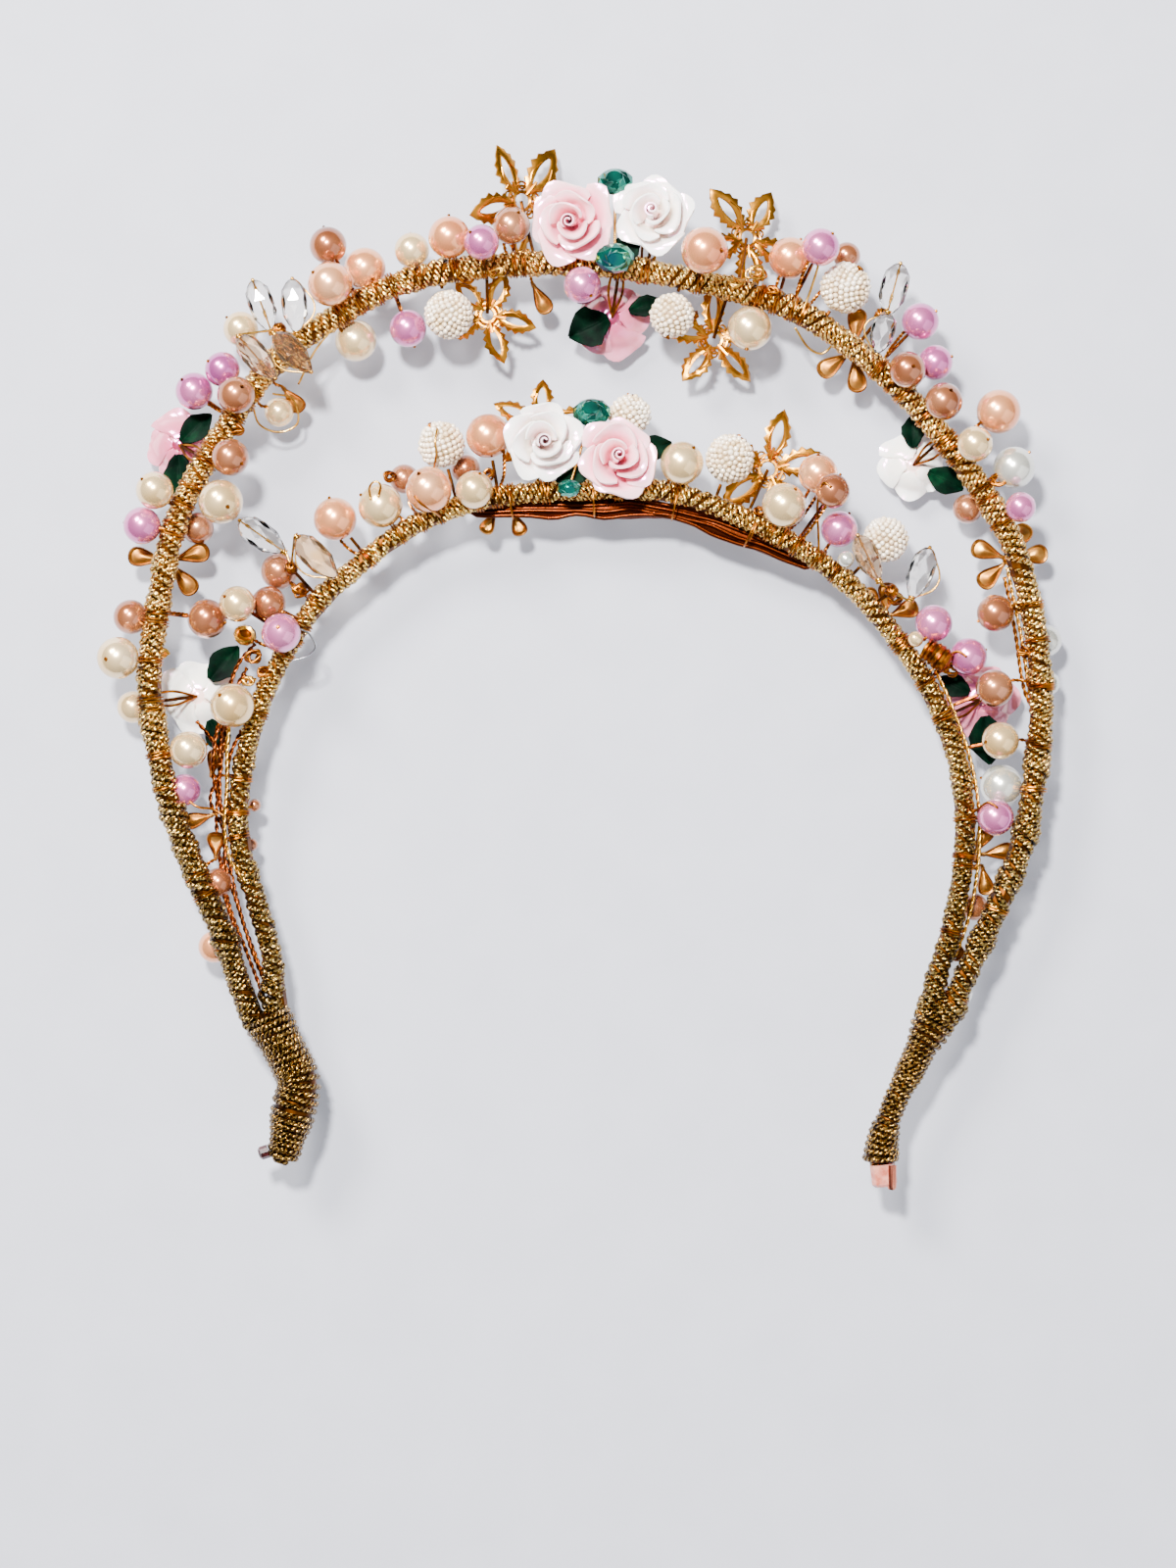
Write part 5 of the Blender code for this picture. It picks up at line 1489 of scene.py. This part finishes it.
def add_drop(shape, root, out, length, width, thickness, hollow=False):
    """Add a drop-shaped petal with a raised rim round a domed middle, or round a sunk one."""
    out = unit(out)
    side = unit(np.cross(UP, out))
    top = np.cross(out, side)
    turn = np.arange(DROP_POINTS) * TAU / DROP_POINTS
    share = 0.5 - 0.5 * np.cos(turn)
    lobe = np.sin(turn) * (0.16 + 0.84 * share ** 1.3)
    outline = np.stack([share * length, lobe * width / 2 * DROP_SPREAD], axis=1)
    middle = np.array((length * DROP_MIDDLE, 0.0))
    rings = []
    for part, rise in DROP_RIM + (DROP_HOLLOW if hollow else DROP_DOME):
        flat = middle + (outline - middle) * part
        rings.append(root + flat[:, :1] * out + flat[:, 1:] * side + top * rise * thickness)
    rings_to_shape(shape, np.array(rings), "foil")
    add_turned(shape, root, out, [(-0.2, 0.3), (length * 0.1, 0.55), (length * 0.22, 0.42)], 8, "foil")


def make_drop_flowers():
    for i, (name, x, y, z, angles, length) in enumerate(DROP_FLOWERS):
        shape = Shape()
        hub = np.array((x, y, z))
        for out in map(way, angles):
            add_drop(shape, hub + out * DROP_ROOT, out, length - DROP_ROOT, DROP_WIDTH, PETAL_THICKNESS)
        for k, turn in enumerate((20.0, 100.0)):
            add_coil(shape, hub, way(turn, 40.0), 1.15, 0.28, 2.2, 0.5, SEEDS["drop flower"] + i * 3 + k)
        make_piece(name + "_petals", shape, (name,), SMOOTH_ANGLE)


# Small pieces that only the looks have

def add_stem(shape, centre, reach, seed):
    """Carry a small piece on a twisted wire that bends down to its band."""
    centre = np.asarray(centre, float)
    point, along, band_radius = nearest_band(centre)
    draw = np.random.default_rng(seed)
    foot = point + along * draw.uniform(-2.0, 2.0)
    start = centre + unit(foot - centre) * reach
    level = foot + unit(start - foot) * band_radius * 0.9
    middle = (start + level) / 2 + UP * draw.uniform(-0.8, 0.4) + along * draw.uniform(-0.8, 0.8)
    add_twist(shape, [start, middle, level], STEM_WIRE, STEM_APART, 1.9)
    add_coil(shape, foot, along, band_radius + 0.5, TIE_WIRE, 2.0, 0.55, seed)


def make_spares():
    """Make the small pearls and drops that the part doesn't have."""
    shape = Shape()
    for seed, (x, y, z, diameter, colour) in enumerate(SPARE_PEARLS, SEEDS["spare pearl"]):
        centre = np.array((x, y, z))
        add_pearl(shape, centre, diameter / 2, pearl_axis(centre, seed), colour)
        add_stem(shape, centre, diameter / 2 - 0.4, seed)
    make_piece("small_pearls", shape, (), SMOOTH_ANGLE)
    shape = Shape()
    for seed, (x, y, z, length, width, angle, hollow) in enumerate(SPARE_DROPS, SEEDS["spare drop"]):
        out = way(angle)
        root = np.array((x, y, z)) - out * length / 2
        add_drop(shape, root, out, length, width, SPARE_DROP_THICKNESS, hollow)
        add_stem(shape, root, 0.0, seed)
    make_piece("small_drops", shape, (), SMOOTH_ANGLE)


# The strip inside the crown: its span in x, how far inside the band it lies, its level, its least and most
# half width, and its thickness as a share of that.
STRIP_SPAN = (-25.0, 52.0)
STRIP_INSET = 4.0
STRIP_Z = 12.6
STRIP_WIDTHS = (0.9, 2.1)
STRIP_FLAT = 0.26
# Places of the strip's cords across its half width, and their radius.
STRIP_CORDS = (-0.86, -0.30, 0.28, 0.84)
STRIP_CORD = 0.5
# Points between two of the wires that tie the strip to the band.
STRIP_TIES = 9


def make_strip():
    """Lay the dark flat strip that runs inside the crown of the inner band."""
    line = ARCHES["inner"][0]
    low, high = STRIP_SPAN
    line = line[(line[:, 0] > low) & (line[:, 0] < high) & (line[:, 1] > 0)][::4]
    along = unit(np.gradient(line, axis=0))
    inward = unit(np.cross(along, UP))
    inward = inward * np.sign(-inward[:, 1:2])
    ease = np.sin(np.linspace(0.0, math.pi, len(line))) ** 0.35
    path = line + inward * (STRIP_INSET * ease)[:, None]
    path[:, 2] = STRIP_Z
    lengths = lengths_along(path)
    shape = Shape()
    width = np.interp(ease, [0, 1], STRIP_WIDTHS) * (1 + 0.22 * smooth_noise(lengths, 5.0, SEEDS["strip"]))
    add_tube(shape, path, width, "strip", 8, flat=STRIP_FLAT, normals=inward)
    for seed, place in enumerate(STRIP_CORDS, SEEDS["strip cord"]):
        across = width * (place + 0.22 * smooth_noise(lengths, 6.0, seed))
        run = path + inward * across[:, None] + UP * (0.62 - 0.3 * abs(place))
        add_tube(shape, run, STRIP_CORD, "strip", 7)
    for k in range(5, len(path) - 4, STRIP_TIES):
        add_coil(shape, (path[k] + line[k]) / 2, along[k], 3.9, 0.2, 1.2, 0.5, SEEDS["strip tie"] + k)
    make_piece("crown_strip", shape)


# Vine wires that show beside the bands: finish, then points.
LOOSE_WIRES = [
    ("vine", [
        (-69.8, 4.6, 14.2), (-73.6, 0.0, 13.4), (-76.2, -8.0, 12.6), (-77.6, -20.0, 12.2),
        (-77.2, -32.0, 12.0), (-75.2, -44.0, 12.2), (-72.8, -54.0, 12.8), (-69.4, -63.3, 13.6),
        (-66.0, -72.0, 14.2),
    ]),
    ("vine", [
        (-71.6, -0.6, 13.4), (-74.4, -6.0, 12.0), (-77.0, -18.0, 11.0), (-78.4, -34.0, 10.8),
        (-76.0, -50.0, 11.6), (-71.6, -62.0, 12.6), (-68.0, -71.0, 14.0),
    ]),
    ("vine", [
        (-71.8, -2.0, 15.6), (-76.0, -8.0, 14.4), (-78.4, -16.0, 13.6), (-78.8, -24.0, 13.2),
        (-76.6, -33.0, 13.8), (-76.2, -43.0, 13.2), (-73.4, -52.0, 13.8), (-70.6, -61.0, 14.0),
        (-67.0, -70.0, 13.6),
    ]),
    ("vine", [
        (-82.4, -12.0, 13.4), (-78.6, -17.0, 12.4), (-77.2, -22.0, 12.6), (-79.6, -29.0, 12.0),
        (-76.2, -37.0, 12.8), (-77.2, -47.0, 12.0), (-74.2, -57.0, 13.0), (-74.0, -63.0, 14.0),
    ]),
    ("vine", [
        (-72.6, -14.0, 15.6), (-75.2, -20.0, 15.0), (-75.8, -30.0, 14.6), (-74.6, -38.0, 15.0),
        (-71.4, -46.0, 16.2), (-69.2, -50.0, 16.8),
    ]),
    ("gold", [
        (-75.0, -12.6, 17.4), (-75.6, -18.0, 16.6), (-75.7, -26.0, 16.0), (-76.2, -35.0, 15.8),
        (-74.8, -42.0, 16.2), (-71.4, -46.6, 17.0),
    ]),
    ("gold", [
        (76.0, -1.0, 15.4), (79.6, -9.0, 15.0), (83.2, -19.0, 14.8), (85.3, -30.0, 14.6),
        (85.4, -41.0, 14.4), (83.6, -53.0, 14.0), (80.2, -63.0, 13.8),
    ]),
    ("wire", [
        (75.4, -4.0, 12.6), (80.6, -16.0, 12.0), (84.2, -30.0, 12.0), (83.6, -46.0, 12.4),
        (79.0, -61.0, 13.0),
    ]),
    ("gold", [
        (91.6, 21.0, 13.6), (92.6, 15.6, 13.8), (94.0, 9.0, 14.0), (95.2, 2.0, 14.0), (96.2, -5.0, 14.0),
        (97.6, -11.0, 14.4),
    ]),
    ("wire", [
        (93.0, 22.0, 15.6), (94.2, 15.0, 15.8), (95.6, 8.0, 15.6), (96.4, 1.0, 15.4), (97.6, -6.0, 15.2),
    ]),
    ("wire", [
        (91.2, 19.0, 11.8), (92.4, 13.0, 12.0), (93.6, 6.0, 12.4), (94.4, 0.0, 12.6), (95.4, -5.6, 12.8),
        (97.2, -9.4, 13.4),
    ]),
]

# Single loops and ends of wire: finish, radius of the wire, points.
LOOPS = [
    ("gold", 0.26, [
        (-44.6, 35.0, 21.4), (-45.0, 37.6, 19.9), (-43.9, 39.0, 19.2), (-42.6, 38.2, 19.8),
        (-43.0, 35.6, 21.6),
    ]),
    ("gold", 0.24, [
        (-30.6, 50.6, 17.4), (-31.0, 47.6, 18.7), (-30.8, 45.0, 18.1), (-31.4, 41.6, 16.6),
        (-32.0, 37.0, 16.6),
    ]),
    ("wire", 0.26, [
        (-35.2, 35.6, 24.3), (-33.6, 33.8, 24.1), (-31.2, 32.4, 21.3), (-30.0, 31.6, 17.8),
    ]),
    ("silver", 0.22, [
        (-60.4, 7.8, 19.6), (-58.0, 6.6, 19.0), (-56.6, 3.8, 17.6), (-58.6, 1.8, 16.8), (-62.0, 0.8, 16.6),
    ]),
    ("wire", 0.28, [
        (53.2, 37.2, 25.6), (51.4, 38.2, 24.8), (50.4, 34.0, 21.6), (50.8, 28.0, 18.0), (51.0, 23.0, 16.6),
    ]),
    ("gold", 0.26, [
        (51.4, 88.0, 20.0), (50.4, 84.0, 19.0), (48.8, 79.0, 17.6), (47.4, 75.6, 17.2),
    ]),
    ("gold", 0.26, [
        (46.0, 72.4, 14.0), (49.0, 68.4, 11.6), (52.0, 67.2, 10.8), (54.2, 69.4, 11.6), (52.8, 71.6, 13.6),
    ]),
    ("wire", 0.26, [
        (82.4, 1.6, 19.2), (80.2, 2.8, 18.2), (77.0, 0.6, 17.0), (74.6, -1.6, 16.6),
    ]),
    ("wire", 0.26, [
        (88.8, -30.6, 20.9), (86.8, -29.4, 20.4), (84.8, -30.8, 18.8), (82.8, -32.6, 17.2),
    ]),
    ("gold", 0.24, [
        (-66.2, 58.4, 12.4), (-62.0, 57.4, 10.4), (-61.0, 52.4, 9.6), (-65.0, 50.4, 9.6),
        (-69.2, 52.0, 10.4), (-70.6, 56.4, 12.4),
    ]),
    ("gold", 0.24, [
        (-60.4, 60.0, 16.0), (-57.0, 66.8, 16.6), (-52.8, 72.0, 17.6),
    ]),
    ("wire", 0.26, [
        (-84.6, -28.6, 14.6), (-82.0, -30.4, 15.4), (-78.6, -31.0, 14.4), (-75.0, -33.4, 14.8),
    ]),
]


def make_wires():
    """Make the twisted wires beside the bands, and the single loops."""
    shape = Shape()
    for finish, points in LOOSE_WIRES:
        add_twist(shape, points, 0.26, 0.25, 3.4, finish)
    make_piece("vine_wires", shape)
    shape = Shape()
    for finish, radius, points in LOOPS:
        add_wire(shape, points, radius, finish, 6, 0.5)
    make_piece("wire_loops", shape)


# Knots of wire at the feet of the larger pieces: x, y, z, reach, finish.
KNOTS = [
    (37.6, 83.6, 16.6, 2.6, "gold"), (33.2, 81.6, 17.6, 2.0, "gold"), (41.0, 80.0, 17.2, 1.8, "wire"),
    (-18.0, 83.8, 17.4, 2.2, "gold"), (-12.0, 87.6, 15.0, 2.4, "gold"), (-24.4, 83.0, 14.8, 2.0, "wire"),
    (23.8, 75.0, 12.6, 2.2, "wire"), (42.0, 36.0, 15.0, 2.4, "gold"), (38.6, 32.8, 16.4, 1.8, "wire"),
    (-69.8, 1.8, 16.4, 2.6, "wire"), (-67.6, -1.6, 15.6, 2.2, "wire"), (-71.2, -3.4, 14.6, 1.8, "gold"),
    (-68.4, 62.4, 15.6, 2.4, "gold"), (-74.0, 50.4, 15.4, 2.2, "wire"), (-60.0, 16.0, 15.6, 2.4, "wire"),
    (68.6, 62.0, 14.4, 2.0, "wire"), (60.4, 67.6, 15.8, 2.2, "gold"), (67.4, 14.2, 14.4, 2.2, "wire"),
    (79.6, -1.2, 13.6, 2.0, "wire"), (94.6, 12.4, 15.2, 2.4, "gold"), (95.4, 3.0, 15.0, 2.2, "wire"),
    (89.2, 39.6, 16.0, 2.2, "wire"), (-90.4, 14.2, 15.2, 2.2, "wire"), (-89.6, 2.4, 14.6, 1.8, "gold"),
    (-52.6, 78.6, 17.0, 2.2, "wire"), (-41.0, 40.4, 14.0, 1.8, "wire"), (-20.0, 40.6, 16.4, 2.0, "wire"),
    (22.0, 39.6, 14.8, 1.8, "gold"), (84.4, -42.6, 13.0, 2.0, "wire"), (83.2, -26.0, 13.4, 1.8, "gold"),
]
KNOT_WIRE = 0.30
KNOT_POINTS = 27


def add_knot(shape, centre, reach, finish, seed):
    """Tangle a wire in a few uneven loops about a point."""
    draw = np.random.default_rng(seed)
    share = np.linspace(0.0, 1.0, KNOT_POINTS)
    turn = share * TAU * draw.uniform(3.6, 4.8) + draw.uniform(0.0, TAU)
    lift = share * TAU * draw.uniform(1.7, 2.6)
    size = reach * (0.55 + 0.35 * draw.uniform(-1.0, 1.0, KNOT_POINTS))
    x, y, z = size * np.cos(turn), size * np.sin(turn) * 0.75, reach * 0.55 * np.sin(lift)
    add_wire(shape, np.asarray(centre) + np.stack([x, y, z], axis=1), KNOT_WIRE, finish, 5, 0.45)


def make_knots():
    shape = Shape()
    for seed, (x, y, z, reach, finish) in enumerate(KNOTS, SEEDS["knot"]):
        add_knot(shape, (x, y, z), reach, finish, seed)
    make_piece("wire_knots", shape)


SLEEVE_WIRE = 0.95


def make_sleeve_wire():
    """Let the end of a copper wire show in the sleeve on the right end."""
    low, high = (np.array(corner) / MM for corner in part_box("right_end_sleeve"))
    x = high[0] - SLEEVE_WIRE - 0.3
    z = high[2] - SLEEVE_WIRE * 0.6
    run = [(x, high[1] - 0.4, z), (x, low[1] + 0.6, z), (x, low[1] + 0.1, z - 0.3)]
    shape = Shape()
    add_tube(shape, run, SLEEVE_WIRE, "copper", 8)
    make_piece("sleeve_wire_end", shape, (), SHARP_METAL)


# Ribbed metal beads, the cup on the left and the barrel on the right: place, axis, profile of the inside,
# and how many ribs. Each rib is a turn of wire, and the ribs narrow away from the middle one.
CUP = (-71.9, 6.4, 15.6)
CUP_AXIS = (0.25, 0.5, 1.0)
CUP_PROFILE = [(-1.6, 1.2), (-0.8, 2.0), (1.0, 1.9), (1.5, 1.4), (0.6, 1.0)]
CUP_RIBS = 4
BARREL = (76.1, 2.0, 17.4)
BARREL_AXIS = way(-35.0, 10.0)
BARREL_PROFILE = [(-3.2, 0.8), (-2.6, 2.0), (2.6, 2.0), (3.2, 0.8)]
BARREL_RIBS = 6
BARREL_MIDDLE = 2.5
RIB_PITCH = 0.1
RIB_NARROWS = 0.12


def make_beads_of_metal():
    """Make the ribbed gold cup on the left and the ribbed barrel on the right."""
    shape = Shape()
    for k in range(CUP_RIBS):
        radius = 2.1 - RIB_NARROWS * abs(k - 1)
        add_coil(shape, np.array(CUP) + UP * (k * 0.9 - 1.2), CUP_AXIS, radius, 0.42, 1.15, RIB_PITCH,
                 SEEDS["cup"] + k, "gold")
    add_turned(shape, CUP, CUP_AXIS, CUP_PROFILE, 16, "brass")
    add_stem(shape, CUP, 1.0, SEEDS["cup stem"])
    for k in range(BARREL_RIBS):
        along = k - BARREL_MIDDLE
        radius = 2.35 - RIB_NARROWS * abs(along)
        add_coil(shape, np.array(BARREL) + BARREL_AXIS * along, BARREL_AXIS, radius, 0.5, 1.1, RIB_PITCH,
                 SEEDS["barrel"] + k)
    add_turned(shape, BARREL, BARREL_AXIS, BARREL_PROFILE, 16, "brass")
    make_piece("ribbed_beads", shape, (), SHARP_METAL)


# Stage, camera and light

FLOOR_SIZE = 16000.0
FLOOR_GLOW = 0.36
FLOOR_TINT = (0.84, 0.87, 0.98, 1.0)
CAMERA_LENS = 90.0
CAMERA_NEAR = 0.01
CAMERA_FAR = 20.0
SENSOR = 36.0
# What the camera sees, in millimetres: its height on the long side, and its middle.
FRAME_HEIGHT = 336.0
FRAME_CENTRE = (1.6, -25.5)


def make_stage():
    """Lay the pale floor that the headband lies on."""
    bpy.ops.mesh.primitive_plane_add(size=FLOOR_SIZE * MM, location=(0.0, 0.0, 0.0))
    floor = bpy.context.object
    floor.name = "floor"
    made = Finish("pale_floor", Roughness=0.75, Emission_Strength=FLOOR_GLOW, Emission_Color=FLOOR_TINT)
    made.clouded(60.0, 5.0, (0.3, "9A9CA6"), (0.7, "9FA1AB"))
    made.grained(900.0, 4.0, 0.1, 0.25)
    floor.data.materials.append(made.material)


def make_camera():
    """Look straight down on the back of the headband, as the photograph does."""
    data = bpy.data.cameras.new("camera")
    data.lens = CAMERA_LENS
    data.sensor_width = SENSOR
    data.clip_start = CAMERA_NEAR
    data.clip_end = CAMERA_FAR
    camera = bpy.data.objects.new("camera", data)
    distance = FRAME_HEIGHT / 2 / (SENSOR / 2 / CAMERA_LENS)
    x, y = FRAME_CENTRE
    camera.location = (x * MM, y * MM, (BAND_Z + distance) * MM)
    camera.rotation_euler = (0.0, 0.0, 0.0)
    bpy.context.scene.collection.objects.link(camera)
    bpy.context.scene.camera = camera


def add_light(name, place, size, power, colour):
    """Add a square soft light that faces the headband."""
    data = bpy.data.lights.new(name, "AREA")
    data.shape = "SQUARE"
    data.size = size
    data.energy = power
    data.color = colour
    made = bpy.data.objects.new(name, data)
    made.location = place
    made.rotation_mode = "QUATERNION"
    made.rotation_quaternion = (-Vector(place)).to_track_quat("-Z", "Y")
    bpy.context.scene.collection.objects.link(made)


# The room's shade by height, from the horizon to straight overhead.
ROOM_SHADES = [
    (0.0, (0.07, 0.06, 0.06, 1.0)), (0.55, (0.15, 0.15, 0.17, 1.0)), (0.97, (0.80, 0.82, 0.90, 1.0)),
]
ROOM_STRENGTH = 0.6
# Each light: name, place in metres, size, power, colour.
LIGHTS = [
    ("window", (-0.60, 0.75, 0.95), 0.40, 44.0, (1.0, 0.97, 0.93)),
    ("lamp", (-0.16, 0.34, 1.02), 0.10, 50.0, (1.0, 0.98, 0.96)),
    ("fill", (0.9, -0.5, 0.7), 1.3, 7.0, (0.94, 0.96, 1.0)),
]


def make_light():
    """Light the scene as a room does: a window up and to the left, soft walls and a lamp overhead."""
    world = bpy.data.worlds.new("room")
    bpy.context.scene.world = world
    world.use_nodes = True
    tree = world.node_tree
    background = tree.nodes["Background"]
    toward = tree.nodes.new("ShaderNodeTexCoord").outputs["Generated"]
    split = tree.nodes.new("ShaderNodeSeparateXYZ")
    tree.links.new(toward, split.inputs["Vector"])
    sky = tree.nodes.new("ShaderNodeValToRGB")
    bar = sky.color_ramp
    bar.elements.new(0.5)
    for element, (spot, shade) in zip(bar.elements, ROOM_SHADES):
        element.position = spot
        element.color = shade
    tree.links.new(split.outputs["Z"], sky.inputs["Fac"])
    tree.links.new(sky.outputs["Color"], background.inputs["Color"])
    background.inputs["Strength"].default_value = ROOM_STRENGTH
    for name, place, size, power, colour in LIGHTS:
        add_light(name, place, size, power, colour)


# Build

NODE_FINISHES = dict.fromkeys(SMALL_PEARLS, "vine")
# The bands' own cores take the near-black core finish: painted shade between the windings.
NODE_FINISHES.update(halo_band="core", inner_band="core", right_end_sleeve="sleeve", left_end_tip="tip")
for node_name, finish_name in NODE_FINISHES.items():
    nodes[node_name].data.materials.clear()
    nodes[node_name].data.materials.append(FINISHES[finish_name])

make_stage()
make_camera()
make_light()
make_bands()
make_pearls()
make_seed_balls()
make_roses()
make_flowers()
make_crystals()
make_stones()
make_drop_flowers()
make_spares()
make_strip()
make_wires()
make_beads_of_metal()
make_knots()
make_sleeve_wire()
